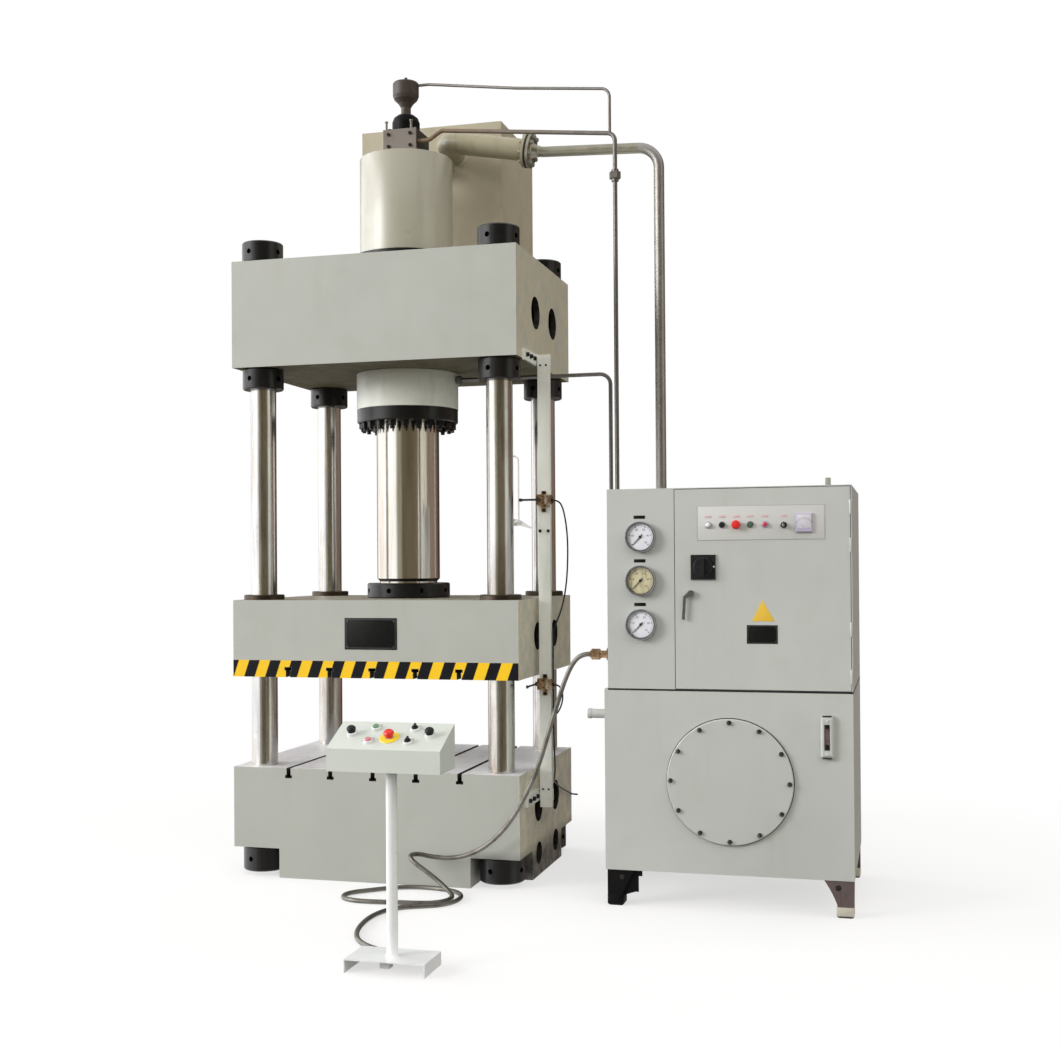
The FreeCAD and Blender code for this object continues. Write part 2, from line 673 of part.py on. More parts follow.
def manhole_cover():
    """Round bolted cover with a low rim on the tank's front."""
    radius = MANHOLE_D / 2
    return turned_forward([(0, 0), (radius, 0), (radius, 14), (radius - 4, 18), (radius - 50, 18),
                           (radius - 56, 12), (0, 12)], MANHOLE_AT)


def cover_bolts():
    """Twelve hexagon heads round the manhole."""
    bolts = []
    for i in range(12):
        angle = math.radians(30 * i + 15)
        at = MANHOLE_AT + Vec(259 * math.cos(angle), -18, 259 * math.sin(angle))
        bolts.append(hexagon(24, 13, at, -BACK))
    return bolts


def level_gauge():
    """Oil sight glass in its moulded frame."""
    frame = box(2178, 2233, CAB_FRONT - 26, CAB_FRONT, 705, 885)
    frame = frame.makeChamfer(8, [edge for edge in frame.Edges if edge.BoundBox.YMax < CAB_FRONT - 20])
    return frame.cut(box(2193, 2218, CAB_FRONT - 27, CAB_FRONT - 16, 738, 852))


def cabinet_shell():
    """Sheet housing on the tank: gauge panel at the left, door opening at the right."""
    t = CAB_SHEET
    shell = box(CAB_LEFT, CAB_RIGHT, CAB_FRONT, CAB_BACK, OIL_TOP, CAB_TOP)
    shell = shell.cut(box(CAB_LEFT + t, CAB_RIGHT - t, CAB_FRONT + t, CAB_BACK - t, OIL_TOP + t, CAB_TOP - t))
    opening = box(DOOR_LEFT, CAB_RIGHT - t, CAB_FRONT - 1, CAB_FRONT + t + 1, OIL_TOP + t, CAB_TOP - t)
    jamb = box(DOOR_LEFT - t, DOOR_LEFT, CAB_FRONT, CAB_FRONT + 40, OIL_TOP, CAB_TOP)
    shell = fuse(shell.cut(opening), jamb)
    for at in GAUGE_AT:
        shell = shell.cut(rod(11, t + 2, at - Vec(0, 1, 0), BACK))
    return shell


def cabinet_door():
    """Pan-shaped door, open behind, drilled for its handle, switch and buttons."""
    left = DOOR_LEFT + DOOR_GAP
    right = CAB_RIGHT - CAB_SHEET - DOOR_GAP
    low = OIL_TOP + CAB_SHEET + DOOR_GAP
    high = CAB_TOP - CAB_SHEET - DOOR_GAP
    pan = box(left, right, CAB_FRONT, CAB_FRONT + DOOR_D, low, high)
    pan = pan.cut(box(left + 3, right - 3, CAB_FRONT + 3, CAB_FRONT + DOOR_D, low + 3, high - 3))
    holes = [(at, STEM_R + 0.3) for at in PANEL_BUTTONS.values()]
    holes += [(KNOB_AT, KNOB_HOLE_R), (HANDLE_AT, 9.3)]
    for at, radius in holes:
        pan = pan.cut(rod(radius, 10, Vec(at.x, CAB_FRONT - 2, at.z), BACK))
    return pan


STEM_R = 5.0
KNOB_HOLE_R = 8.3
SWITCH_BASE = 112.0
PANEL_BUTTONS = {
    "black_button": Vec(1750, CAB_FRONT, PANEL_ROW_Z), "stop_mushroom": Vec(1814, CAB_FRONT, PANEL_ROW_Z),
    "green_button": Vec(1876, CAB_FRONT, PANEL_ROW_Z), "key_selector": Vec(2024, CAB_FRONT, PANEL_ROW_Z - 4)}
LAMPS_AT = (Vec(1687, CAB_FRONT, PANEL_ROW_Z), Vec(1941, CAB_FRONT, PANEL_ROW_Z))


def stemmed(head, centre):
    """Panel control: a turned head on a stem that runs back through the sheet."""
    return turned_forward([(0, -18), (STEM_R, -18), (STEM_R, 6)] + head, centre)


def panel_button(centre, radius=11.0):
    return stemmed([(radius, 6), (radius, 14), (radius - 2, 17), (0, 17)], centre)


def stop_mushroom(centre, radius=20.0):
    return stemmed([(radius - 6, 7), (radius - 6, 16), (radius, 20), (radius, 25), (radius - 5, 31), (0, 33)],
                   centre)


def selector(centre, radius=13.0):
    """Turned ring with a raised finger bar across it."""
    base = stemmed([(radius, 6), (radius, 13), (radius - 2, 16), (0, 16)], centre)
    bar = box(centre.x - 3.5, centre.x + 3.5, centre.y - 25, centre.y - 15, centre.z - radius + 2,
              centre.z + radius - 2)
    return fuse(base, bar)


def panel_instruments():
    """Two pilot lamps, the square meter and the isolator's square base on the door."""
    lamps = [turned_forward([(0, 0), (14, 0), (14, 8), (10, 9), (9, 16), (0, 20)], at) for at in LAMPS_AT]
    meter = box(2077, 2150, CAB_FRONT - 16, CAB_FRONT, 1698, 1783)
    meter = meter.makeChamfer(4, [edge for edge in meter.Edges if edge.BoundBox.YMax < CAB_FRONT - 10])
    half = SWITCH_BASE / 2
    base = box(KNOB_AT.x - half, KNOB_AT.x + half, CAB_FRONT - 12, CAB_FRONT, KNOB_AT.z - half, KNOB_AT.z + half)
    base = base.makeChamfer(3, [edge for edge in base.Edges if edge.BoundBox.YMax < CAB_FRONT - 10])
    base = base.cut(rod(KNOB_HOLE_R, 20, KNOB_AT + Vec(0, 2, 0), -BACK))
    return lamps + [meter, base]


def main_switch():
    """Round rotary isolator knob with a grip across its face."""
    knob = turned_forward([(0, -16), (8, -16), (8, 13), (44, 13), (44, 22), (40, 27), (0, 27)], KNOB_AT)
    grip = box(KNOB_AT.x - 10, KNOB_AT.x + 10, CAB_FRONT - 48, CAB_FRONT - 26, KNOB_AT.z - 38, KNOB_AT.z + 38)
    return fuse(knob, grip)


def door_handle():
    """Slim bent lever on a round hub, hanging down and a little to the left, with its cam behind."""
    hub = turned_forward([(0, -24), (9, -24), (9, 3), (15, 3), (15, 20), (12, 24), (0, 24)], HANDLE_AT)
    outline = [(9, 9), (-6, 12), (-32, -14), (-38, -116), (-26, -118), (-20, -22), (7, -9)]
    lever = plate([HANDLE_AT + Vec(x, -22, z) for x, z in outline], Vec(0, 9, 0))
    cam = box(HANDLE_AT.x - 10, HANDLE_AT.x + 10, CAB_FRONT + 16, CAB_FRONT + 20, HANDLE_AT.z - 32,
              HANDLE_AT.z + 10)
    return fuse(hub, lever, cam)


def gauge_case(at):
    """Round gauge: chromed rim in front, dial recessed behind it, and a centre hole for the spindle."""
    radius = GAUGE_D / 2
    face = GAUGE_DEPTH - 14
    return turned_forward([(2.6, 0), (radius - 4, 0), (radius, 6), (radius, GAUGE_DEPTH - 3),
                           (radius - 3, GAUGE_DEPTH), (radius - 9, GAUGE_DEPTH), (radius - 10, face), (2.6, face)],
                          at)


def gauge_pointer(at):
    """Pointer on its spindle, resting at the lower left of the dial."""
    face = at - Vec(0, GAUGE_DEPTH - 14, 0)
    spindle = rod(2.2, 18, face + Vec(0, 11, 0), -BACK)
    hub = rod(6, 3, face - Vec(0, 3, 0), -BACK)
    blade = plate([Vec(-2.5, -3, 14), Vec(2.5, -3, 14), Vec(1, -3, -48), Vec(-1, -3, -48)], Vec(0, -2, 0))
    blade.rotate(Vec(0, 0, 0), BACK, 42)
    blade.translate(face)
    return fuse(spindle, hub, blade)


MOTOR_AT = Vec(1480, -250, 1180)
MOTOR_R = 125.0


def pump_motor():
    """Electric motor on its feet beside the pump, on the tank's lid."""
    body = rod(MOTOR_R, 380, MOTOR_AT, RIGHT)
    fins = [rod(MOTOR_R + 9, 20, MOTOR_AT + RIGHT * (40 + 90 * i), RIGHT) for i in range(4)]
    shield = rod(MOTOR_R + 18, 22, MOTOR_AT + RIGHT * 380, RIGHT)
    terminals = box(MOTOR_AT.x + 130, MOTOR_AT.x + 250, MOTOR_AT.y - 60, MOTOR_AT.y + 60, MOTOR_AT.z + 100,
                    MOTOR_AT.z + 180)
    floor = OIL_TOP + CAB_SHEET
    feet = [box(MOTOR_AT.x + x, MOTOR_AT.x + x + 50, MOTOR_AT.y - 110, MOTOR_AT.y + 110, floor, MOTOR_AT.z - 60)
            for x in (60, 290)]
    return fuse(body, shield, terminals, *fins, *feet)


def pump():
    """Piston pump bolted to the motor's end shield."""
    start = MOTOR_AT + RIGHT * 402
    return fuse(rod(70, 60, start, RIGHT), rod(92, 170, start + RIGHT * 60, RIGHT),
                box(start.x + 110, start.x + 190, MOTOR_AT.y - 30, MOTOR_AT.y + 30, OIL_TOP + CAB_SHEET,
                    MOTOR_AT.z))


def cable_gland():
    """Pipe nipple and brass hexagon gland for the stand's conduit."""
    nut = hexagon(44, 40, GLAND_AT - RIGHT * 42, -RIGHT)
    return fuse(rod(17, 44, GLAND_AT, -RIGHT), nut, rod(16, 8, GLAND_AT - RIGHT * 82, -RIGHT))


# ---------------------------------------------------------------- push-button stand
SLOPE = Vec(0, CONSOLE_BACK - CONSOLE_FRONT, CONSOLE_CREST - CONSOLE_LIP)
PANEL_NORMAL = unit(RIGHT.cross(SLOPE))


def on_console(across, up_slope):
    """Point on the console's sloping panel: from the middle, and up from its front edge."""
    return Vec(STAND_X + across, CONSOLE_FRONT, CONSOLE_LIP) + unit(SLOPE) * up_slope


CONSOLE_CONTROLS = {
    "palm_left": on_console(-161, 104), "palm_right": on_console(161, 104), "console_stop": on_console(0, 86),
    "console_green": on_console(-76, 148), "console_red": on_console(-76, 54),
    "console_selector_a": on_console(86, 148), "console_selector_b": on_console(86, 54)}


def tilted(solid, centre):
    """Turn a forward-facing control to stand out of the sloping panel at centre."""
    angle = math.degrees(math.atan2(PANEL_NORMAL.z, -PANEL_NORMAL.y))
    solid.rotate(Vec(0, 0, 0), RIGHT, -angle)
    solid.translate(centre)
    return solid


def console_box():
    """Sheet desk with a sloping panel drilled for its controls."""
    left = STAND_X - CONSOLE_W / 2
    outline = [(CONSOLE_FRONT, CONSOLE_BOTTOM), (CONSOLE_FRONT, CONSOLE_LIP), (CONSOLE_BACK, CONSOLE_CREST),
               (CONSOLE_BACK, CONSOLE_BOTTOM)]
    body = plate([Vec(left, y, z) for y, z in outline], Vec(CONSOLE_W, 0, 0))
    t = 3.0
    inner = [(CONSOLE_FRONT + t, CONSOLE_BOTTOM + t), (CONSOLE_FRONT + t, CONSOLE_LIP - 2),
             (CONSOLE_BACK - t, CONSOLE_CREST - 4.5), (CONSOLE_BACK - t, CONSOLE_BOTTOM + t)]
    body = body.cut(plate([Vec(left + t, y, z) for y, z in inner], Vec(CONSOLE_W - 2 * t, 0, 0)))
    collar = tilted(turned_forward([(0, 0), (39, 0), (39, 2), (0, 2)], Vec(0, 0, 0)),
                    CONSOLE_CONTROLS["console_stop"])
    body = fuse(body, collar)
    for at in CONSOLE_CONTROLS.values():
        body = body.cut(rod(STEM_R + 0.3, 20, at + PANEL_NORMAL * 5, -PANEL_NORMAL))
    return body


def palm_button():
    """Tall mushroom head for the palm."""
    return stemmed([(13, 6), (13, 18), (18, 22), (18, 30), (12, 36), (0, 38)], Vec(0, 0, 0))


def console_stand():
    """Post welded to a foot plate with its two sides folded down, and the conduit's entry box below."""
    left = STAND_X - FOOT_W / 2
    right = STAND_X + FOOT_W / 2
    front = -1975.0
    back = -1780.0
    t = 4.0
    top = box(left, right, front, back, FOOT_H - t, FOOT_H)
    sides = [box(x, x + t, front, back, 0, FOOT_H) for x in (left, right - t)]
    post = rod(POST_D / 2, CONSOLE_BOTTOM - FOOT_H, Vec(STAND_X, STAND_Y, FOOT_H))
    collar = turned([(POST_D / 2, FOOT_H), (POST_D / 2 + 7, FOOT_H), (POST_D / 2, FOOT_H + 7)],
                    Vec(STAND_X, STAND_Y, 0))
    entry = box(STAND_X - 45, STAND_X - 5, STAND_Y - 20, STAND_Y + 20, 4, FOOT_H - t)
    return fuse(top, post, collar, entry, *sides)


LYING = CONDUIT_D / 2 + 0.5
CONDUIT = [GLAND_AT - RIGHT * 90, Vec(1102, -670, 1147), Vec(1056, -667, 1118), Vec(1010, -660, 1030),
           Vec(966, -650, 900), Vec(924, -642, 775), Vec(886, -636, 655), Vec(840, -630, 540),
           Vec(780, -622, 425), Vec(708, -614, 320), Vec(622, -608, 235), Vec(530, -604, 180),
           Vec(430, -602, 155), Vec(335, -604, 158), Vec(262, -610, 172), Vec(226, -634, 168),
           Vec(250, -660, 146), Vec(318, -668, 106), Vec(386, -676, 62), Vec(446, -700, 24),
           Vec(486, -752, LYING), Vec(488, -830, LYING), Vec(446, -892, LYING), Vec(366, -914, LYING),
           Vec(270, -922, LYING), Vec(172, -936, LYING), Vec(76, -938, LYING), Vec(4, -912, LYING),
           Vec(-28, -850, LYING), Vec(-8, -784, LYING), Vec(60, -726, LYING), Vec(148, -652, LYING),
           Vec(232, -614, LYING), Vec(330, -612, LYING), Vec(424, -634, LYING), Vec(496, -682, LYING),
           Vec(530, -760, LYING), Vec(528, -848, LYING), Vec(482, -922, LYING), Vec(404, -964, LYING),
           Vec(326, -1000, LYING), Vec(276, -1066, LYING), Vec(252, -1152, LYING), Vec(250, -1250, LYING),
           Vec(262, -1352, LYING), Vec(286, -1452, LYING), Vec(326, -1544, LYING), Vec(384, -1620, LYING),
           Vec(462, -1676, LYING), Vec(540, -1718, 13), Vec(584, -1772, 17), Vec(586, -1830, 20),
           Vec(586, -1860, 20)]


# ---------------------------------------------------------------- write every piece
def main():
    save("bed", bed())
    save("columns", *columns())
    save("crown", crown())
    save("crown_nuts", *crown_nuts())
    save("foot_nuts", *foot_nuts())
    save("main_cylinder", main_cylinder())
    save("cylinder_ring", *cylinder_ring())
    save("gland_ring", gland_ring())
    save("gland_bolts", *gland_bolts())
    save("gland_packing", *gland_packing())
    save("slide", slide())
    save("guide_bushes", *guide_bushes())
    save("ram", ram())
    save("ram_ring", ram_ring())
    save("striker", striker())

    save("head_block", head_block())
    save("pilot_valve", pilot_valve())
    save("fill_tank", fill_tank())
    save("fill_pipe", fill_pipe())
    save("main_pipe", main_pipe())
    save("pressure_pipe", pressure_pipe())
    save("pilot_pipe", pilot_pipe())
    save("return_pipe", return_pipe())

    save("switch_rail", switch_rail())
    save("limit_switches", *[switch_body(z) for z in SWITCH_Z])
    save("upper_lever", upper_lever())
    save("lower_lever", lower_lever())
    save("upper_lead", tube(UPPER_LEAD, LEAD_D))
    save("lower_lead", tube(LOWER_LEAD, LEAD_D))

    save("oil_tank", oil_tank())
    save("tank_legs", *tank_legs())
    save("manhole_cover", manhole_cover())
    save("cover_bolts", *cover_bolts())
    save("level_gauge", level_gauge())
    save("cabinet_shell", cabinet_shell())
    save("pressure_gauges", *[gauge_case(at) for at in GAUGE_AT])
    for name, at in zip(("pointer_top", "pointer_middle", "pointer_bottom"), GAUGE_AT):
        save(name, gauge_pointer(at))
    save("pump_motor", pump_motor())
    save("pump", pump())
    save("cable_gland", cable_gland())

    save("cabinet_door", cabinet_door())
    save("panel_instruments", *panel_instruments())
    save("door_handle", door_handle())
    save("main_switch", main_switch())
    save("black_button", panel_button(PANEL_BUTTONS["black_button"]))
    save("stop_mushroom", stop_mushroom(PANEL_BUTTONS["stop_mushroom"]))
    save("green_button", panel_button(PANEL_BUTTONS["green_button"]))
    save("key_selector", selector(PANEL_BUTTONS["key_selector"]))

    save("console_stand", console_stand())
    save("console_box", console_box())
    save("console_conduit", tube(CONDUIT, CONDUIT_D))
    origin = Vec(0, 0, 0)
    heads = {"palm_left": palm_button(), "palm_right": palm_button(),
             "console_stop": stop_mushroom(origin, 21.0),
             "console_green": panel_button(origin, 12.0), "console_red": panel_button(origin, 12.0),
             "console_selector_a": selector(origin), "console_selector_b": selector(origin)}
    for name, head in heads.items():
        save(name, tilted(head, CONSOLE_CONTROLS[name]))


main()
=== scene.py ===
"""Looks of the four-column hydraulic press: finishes, trim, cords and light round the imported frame."""

import itertools
import json
import logging
import math
from dataclasses import dataclass
from enum import Enum
from typing import Callable, Iterable, Sequence

import bmesh
import bpy
from mathutils import Matrix, Vector

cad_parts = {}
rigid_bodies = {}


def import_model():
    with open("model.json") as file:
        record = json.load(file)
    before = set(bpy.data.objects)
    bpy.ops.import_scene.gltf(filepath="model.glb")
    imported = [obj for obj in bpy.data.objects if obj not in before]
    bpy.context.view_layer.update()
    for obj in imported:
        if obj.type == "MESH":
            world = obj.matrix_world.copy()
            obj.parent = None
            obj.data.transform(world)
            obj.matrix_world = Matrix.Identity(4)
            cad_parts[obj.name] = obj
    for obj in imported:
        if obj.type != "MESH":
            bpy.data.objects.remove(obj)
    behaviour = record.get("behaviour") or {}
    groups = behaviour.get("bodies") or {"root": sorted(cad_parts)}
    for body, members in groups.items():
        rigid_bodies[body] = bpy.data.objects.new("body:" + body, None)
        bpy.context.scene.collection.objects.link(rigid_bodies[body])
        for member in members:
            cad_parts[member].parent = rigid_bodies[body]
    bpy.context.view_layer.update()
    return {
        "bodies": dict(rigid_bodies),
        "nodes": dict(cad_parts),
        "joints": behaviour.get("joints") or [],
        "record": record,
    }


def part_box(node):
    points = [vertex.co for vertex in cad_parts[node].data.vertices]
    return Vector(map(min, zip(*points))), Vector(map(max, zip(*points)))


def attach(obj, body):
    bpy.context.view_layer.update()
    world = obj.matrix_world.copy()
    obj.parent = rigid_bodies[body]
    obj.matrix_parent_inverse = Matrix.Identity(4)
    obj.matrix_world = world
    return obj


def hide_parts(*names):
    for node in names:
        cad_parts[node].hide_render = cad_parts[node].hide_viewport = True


log = logging.getLogger("press")

Point = tuple[float, float, float]
Colour = tuple[float, float, float]
Area = tuple[float, float, float, float]
Profile = Sequence[tuple[float, float]]
Spans = tuple[tuple[float, float], ...]
Socket = bpy.types.NodeSocket

FORWARD = Vector((0, -1, 0))
BACK = Vector((0, 1, 0))
RIGHT = Vector((1, 0, 0))
UP = Vector((0, 0, 1))

FRAME = "press_frame"
SLIDE = "moving_slide"
DOOR = "door"

BOX_HALF_WIDTH = 0.75
BOX_HALF_DEPTH = 0.535
BED_TOP = 0.550
SLIDE_FOOT = 1.006
SLIDE_TOP = 1.392
SLOT_CENTRES = (-0.45, -0.225, 0.0, 0.225, 0.45)
CABINET_FRONT = -0.7
# Widths across flats of the common hexagon heads.
FLATS_M6, FLATS_M8, FLATS_M12 = 0.010, 0.013, 0.019


def srgb(red: int, green: int, blue: int) -> Colour:
    """Turn a colour as the eye reads it on a screen into the linear one that shaders take.

    Args:
        red: Red, 0 to 255.
        green: Green, 0 to 255.
        blue: Blue, 0 to 255.

    Returns:
        The linear colour.
    """
    shares = [value / 255 for value in (red, green, blue)]
    return tuple(s / 12.92 if s <= 0.04045 else ((s + 0.055) / 1.055) ** 2.4 for s in shares)


def toned(colour: Colour, share: float) -> Colour:
    """Return a colour made darker, or lighter as far as white."""
    return tuple(min(1.0, c * share) for c in colour)


# ------------------------------------------------------------------------------ finishes
class Grain(Enum):
    """Which way a metal's tool marks run."""

    NONE = (30.0, 30.0, 30.0)
    ALONG_Z = (220.0, 220.0, 3.0)
    AROUND_Z = (5.0, 5.0, 320.0)


@dataclass(frozen=True)
class Grit:
    """One kind of unevenness: fractal noise, its cells in a metre, and the part of its range that shows."""

    scale: float
    low: float = 0.0
    high: float = 1.0
    stretch: Point = (1.0, 1.0, 1.0)
    detail: float = 5
    rough: float = 0.6


PAINT_CLOUDS = Grit(1.7, 0.3, 0.7, detail=3)
PAINT_RUNS = Grit(9, 0.54, 0.8, (1, 1, 0.16))
PAINT_SMEARS = Grit(4.5, 0.56, 0.82, (1, 1, 1.3), 8, 0.7)
PAINT_SPECKS = Grit(90, 0.7, 0.78, detail=2)
PAINT_DULLING = Grit(12, 0.3, 0.7, detail=4)
ORANGE_PEEL = Grit(260, detail=3)
SIDE_LIGHT_MOTTLES = Grit(13, 0.38, 0.62, detail=8, rough=0.75)
CORNER_SHADE_MOTTLES = Grit(21, 0.3, 0.6, detail=6, rough=0.7)
TOOL_MARKS = Grit(1, detail=4, rough=0.7)
METAL_CLOUDS = Grit(1.4, 0.42, 0.6)
METAL_PATCHES = Grit(1, 0.46, 0.66, detail=7, rough=0.65)
METAL_SPOTS = Grit(48, 0.6, 0.72, detail=4)
MOULDING_DUST = Grit(38, 0.45, 0.8, detail=6, rough=0.7)
MOULDING_DULLING = Grit(60, 0.3, 0.7, detail=3)
MOULDING_SKIN = Grit(900, detail=2)
GLASS_HAZE = Grit(30, 0.5, 0.8)

GLOSSIEST, DULLEST = 0.85, 1.15
METAL_HAZE = (0.34, 0.34, 0.39)
BODY_SOIL = srgb(118, 104, 74)
# Painted light on the frame boxes' right sides, paler lower down, and painted shade on the bed's lower right
# corner.
SIDE_PAINTED_LIGHT = srgb(206, 195, 162)
LOW_PAINTED_LIGHT = srgb(244, 232, 204)
CORNER_SHADE = srgb(26, 21, 17)
PAINTED_LIGHT_SIDE = (0.7475, 0.749)
PAINTED_LIGHT_FADES_UP = (1.9, 0.5)
SHADED_CORNER = (0.503, 0.508)
CORNER_SHADE_FADES_UP = (0.19, 0.10)


class Graph:
    """Shorthand for the node tree of one material."""

    def __init__(self, name: str) -> None:
        """Start a material that holds a Principled shader and Object coordinates.

        Args:
            name: The material's name.
        """
        self.material = bpy.data.materials.new(name)
        self.material.use_nodes = True
        self.nodes = self.material.node_tree.nodes
        self.links = self.material.node_tree.links
        self.shader = self.nodes["Principled BSDF"]
        self.coordinates = self.nodes.new("ShaderNodeTexCoord").outputs["Object"]

    def noise(self, kind: Grit, finer: float = 1.0, stretch: Point | None = None) -> Socket:
        """Add fractal noise on Object coordinates.

        Args:
            kind: What sort of noise.
            finer: How many times finer than it says.
            stretch: Extra scale along each axis, the kind's own when left out.

        Returns:
            The noise's value socket.
        """
        mapping = self.nodes.new("ShaderNodeMapping")
        mapping.inputs["Scale"].default_value = stretch or kind.stretch
        self.links.new(self.coordinates, mapping.inputs["Vector"])
        noise = self.nodes.new("ShaderNodeTexNoise")
        noise.inputs["Scale"].default_value = kind.scale * finer
        noise.inputs["Detail"].default_value = kind.detail
        noise.inputs["Roughness"].default_value = kind.rough
        self.links.new(mapping.outputs["Vector"], noise.inputs["Vector"])
        return noise.outputs["Fac"]

    def span(self, value: Socket, low: float, high: float, to_low: float = 0.0, to_high: float = 1.0
             ) -> Socket:
        """Stretch part of a value's range over another, clamped.

        Args:
            value: The socket that is read.
            low: Where the range starts.
            high: Where the range ends.
            to_low: Result at the start.
            to_high: Result at the end.

        Returns:
            The result socket.
        """
        node = self.nodes.new("ShaderNodeMapRange")
        for name, number in (("From Min", low), ("From Max", high), ("To Min", to_low), ("To Max", to_high)):
            node.inputs[name].default_value = number
        self.links.new(value, node.inputs["Value"])
        return node.outputs["Result"]

    def grit(self, kind: Grit, to_low: float = 0.0, to_high: float = 1.0, finer: float = 1.0,
             stretch: Point | None = None) -> Socket:
        """Add noise and stretch the part of it that shows over a range.

        Args:
            kind: What sort of noise.
            to_low: Result where it starts to show.
            to_high: Result where it shows fully.
            finer: How many times finer than it says.
            stretch: Extra scale along each axis, the kind's own when left out.

        Returns:
            The result socket.
        """
        return self.span(self.noise(kind, finer, stretch), kind.low, kind.high, to_low, to_high)

    def blend(self, share: Socket, first: Colour | Socket, second: Colour | Socket) -> Socket:
        """Mix two colours by a share.

        Args:
            share: Says how much of the second shows.
            first: Colour or colour socket.
            second: Colour or colour socket.

        Returns:
            The mixed colour socket.
        """
        node = self.nodes.new("ShaderNodeMix")
        node.data_type = "RGBA"
        self.links.new(share, node.inputs["Factor"])
        for socket, colour in ((node.inputs["A"], first), (node.inputs["B"], second)):
            if isinstance(colour, tuple):
                socket.default_value = (*colour, 1)
            else:
                self.links.new(colour, socket)
        return node.outputs["Result"]

    def both(self, first: Socket, second: Socket) -> Socket:
        """Multiply two shares.

        Args:
            first: One share.
            second: The other.

        Returns:
            The product's socket.
        """
        node = self.nodes.new("ShaderNodeMath")
        node.operation = "MULTIPLY"
        self.links.new(first, node.inputs[0])
        self.links.new(second, node.inputs[1])
        return node.outputs["Value"]

    def along(self, axis: str) -> Socket:
        """Read one Object coordinate.

        Args:
            axis: X, Y or Z.

        Returns:
            The coordinate's socket.
        """
        node = self.nodes.new("ShaderNodeSeparateXYZ")
        self.links.new(self.coordinates, node.inputs[0])
        return node.outputs[axis]

    def bump(self, height: Socket, depth: float, strength: float) -> None:
        """Roughen the surface by a height socket.

        Args:
            height: The height's socket.
            depth: Depth in metres from its lowest to its highest.
            strength: How much of it shows.
        """
        node = self.nodes.new("ShaderNodeBump")
        node.inputs["Strength"].default_value = strength
        node.inputs["Distance"].default_value = depth
        self.links.new(height, node.inputs["Height"])
        self.links.new(node.outputs["Normal"], self.shader.inputs["Normal"])

    def set(self, **values: float | tuple[float, ...]) -> None:
        """Set plain numbers and colours on the shader's own sockets; words are joined with _."""
        for name, value in values.items():
            self.shader.inputs[name.replace("_", " ")].default_value = value

    def feed(self, name: str, socket: Socket) -> None:
        """Link a socket to the shader's input of that name."""
        self.links.new(socket, self.shader.inputs[name])


def mix_shaders(tree: bpy.types.NodeTree, share: Socket, first: Socket, second: Socket) -> Socket:
    """Mix two shaders by a share.

    Args:
        tree: The node tree that they are in.
        share: Says how much of the second shows.
        first: Shader socket.
        second: Shader socket.

    Returns:
        The mixed shader's socket.
    """
    mix = tree.nodes.new("ShaderNodeMixShader")
    tree.links.new(share, mix.inputs["Fac"])
    tree.links.new(first, mix.inputs[1])
    tree.links.new(second, mix.inputs[2])
    return mix.outputs[0]


@dataclass(frozen=True)
class Enamel:
    """Sprayed machine paint with soiling, faded patches and a light orange peel."""

    name: str
    colour: Colour
    soil: Colour
    soiling: float = 0.35
    roughness: float = 0.42
    coat: float = 0.12
    specular: float = 0.5
    cell: float = 1.0
    side_light_and_shade: float = 0.0

    def material(self) -> bpy.types.Material:
        """Build the paint's material.

        Returns:
            The material.
        """
        graph = Graph(self.name)
        clouds = graph.grit(PAINT_CLOUDS, finer=self.cell)
        paint = graph.blend(clouds, toned(self.colour, 0.96), toned(self.colour, 1.02))
        runs = graph.grit(PAINT_RUNS, 0, self.soiling, self.cell)
        smears = graph.grit(PAINT_SMEARS, 0, self.soiling, self.cell)
        soil_and_painted_light = graph.blend(smears, graph.blend(runs, paint, self.soil), self.soil)
        # Painted light on the right sides, painted shade on the bed's lower right corner.
        if self.side_light_and_shade > 0:
            soil_and_painted_light = self.paint_side_light_and_shade(graph, soil_and_painted_light)
        specks = graph.grit(PAINT_SPECKS, 0, self.soiling * 0.6)
        graph.feed("Base Color", graph.blend(specks, soil_and_painted_light, toned(self.soil, 0.35)))
        graph.feed("Roughness", graph.grit(PAINT_DULLING, self.roughness - 0.08, self.roughness + 0.12))
        graph.bump(graph.noise(ORANGE_PEEL), depth=0.0006, strength=0.25)
        graph.set(Coat_Weight=self.coat, Coat_Roughness=0.25, Specular_IOR_Level=self.specular)
        return graph.material

    def paint_side_light_and_shade(self, graph: Graph, paint: Socket) -> Socket:
        """Paint light on the frame boxes' right side, paler lower down, and paint shade on the bed's lower
        corner there.

        Args:
            graph: The paint's node tree.
            paint: The paint's colour socket.

        Returns:
            The colour socket with both on it.
        """
        mottles = graph.grit(SIDE_LIGHT_MOTTLES, self.side_light_and_shade * 0.2, self.side_light_and_shade)
        side = graph.both(graph.span(graph.along("X"), *PAINTED_LIGHT_SIDE), mottles)
        # Painted light: the right sides get paler, the more so lower down.
        dust = graph.blend(graph.span(graph.along("Z"), *PAINTED_LIGHT_FADES_UP), SIDE_PAINTED_LIGHT, LOW_PAINTED_LIGHT)
        right = graph.span(graph.along("X"), *SHADED_CORNER)
        corner = graph.both(right, graph.span(graph.along("Z"), *CORNER_SHADE_FADES_UP))
        # Painted shade on the bed's lower right corner.
        corner_shade_share = graph.both(corner, graph.grit(CORNER_SHADE_MOTTLES, 0.6, 0.98))
        return graph.blend(corner_shade_share, graph.blend(side, paint, dust), CORNER_SHADE)


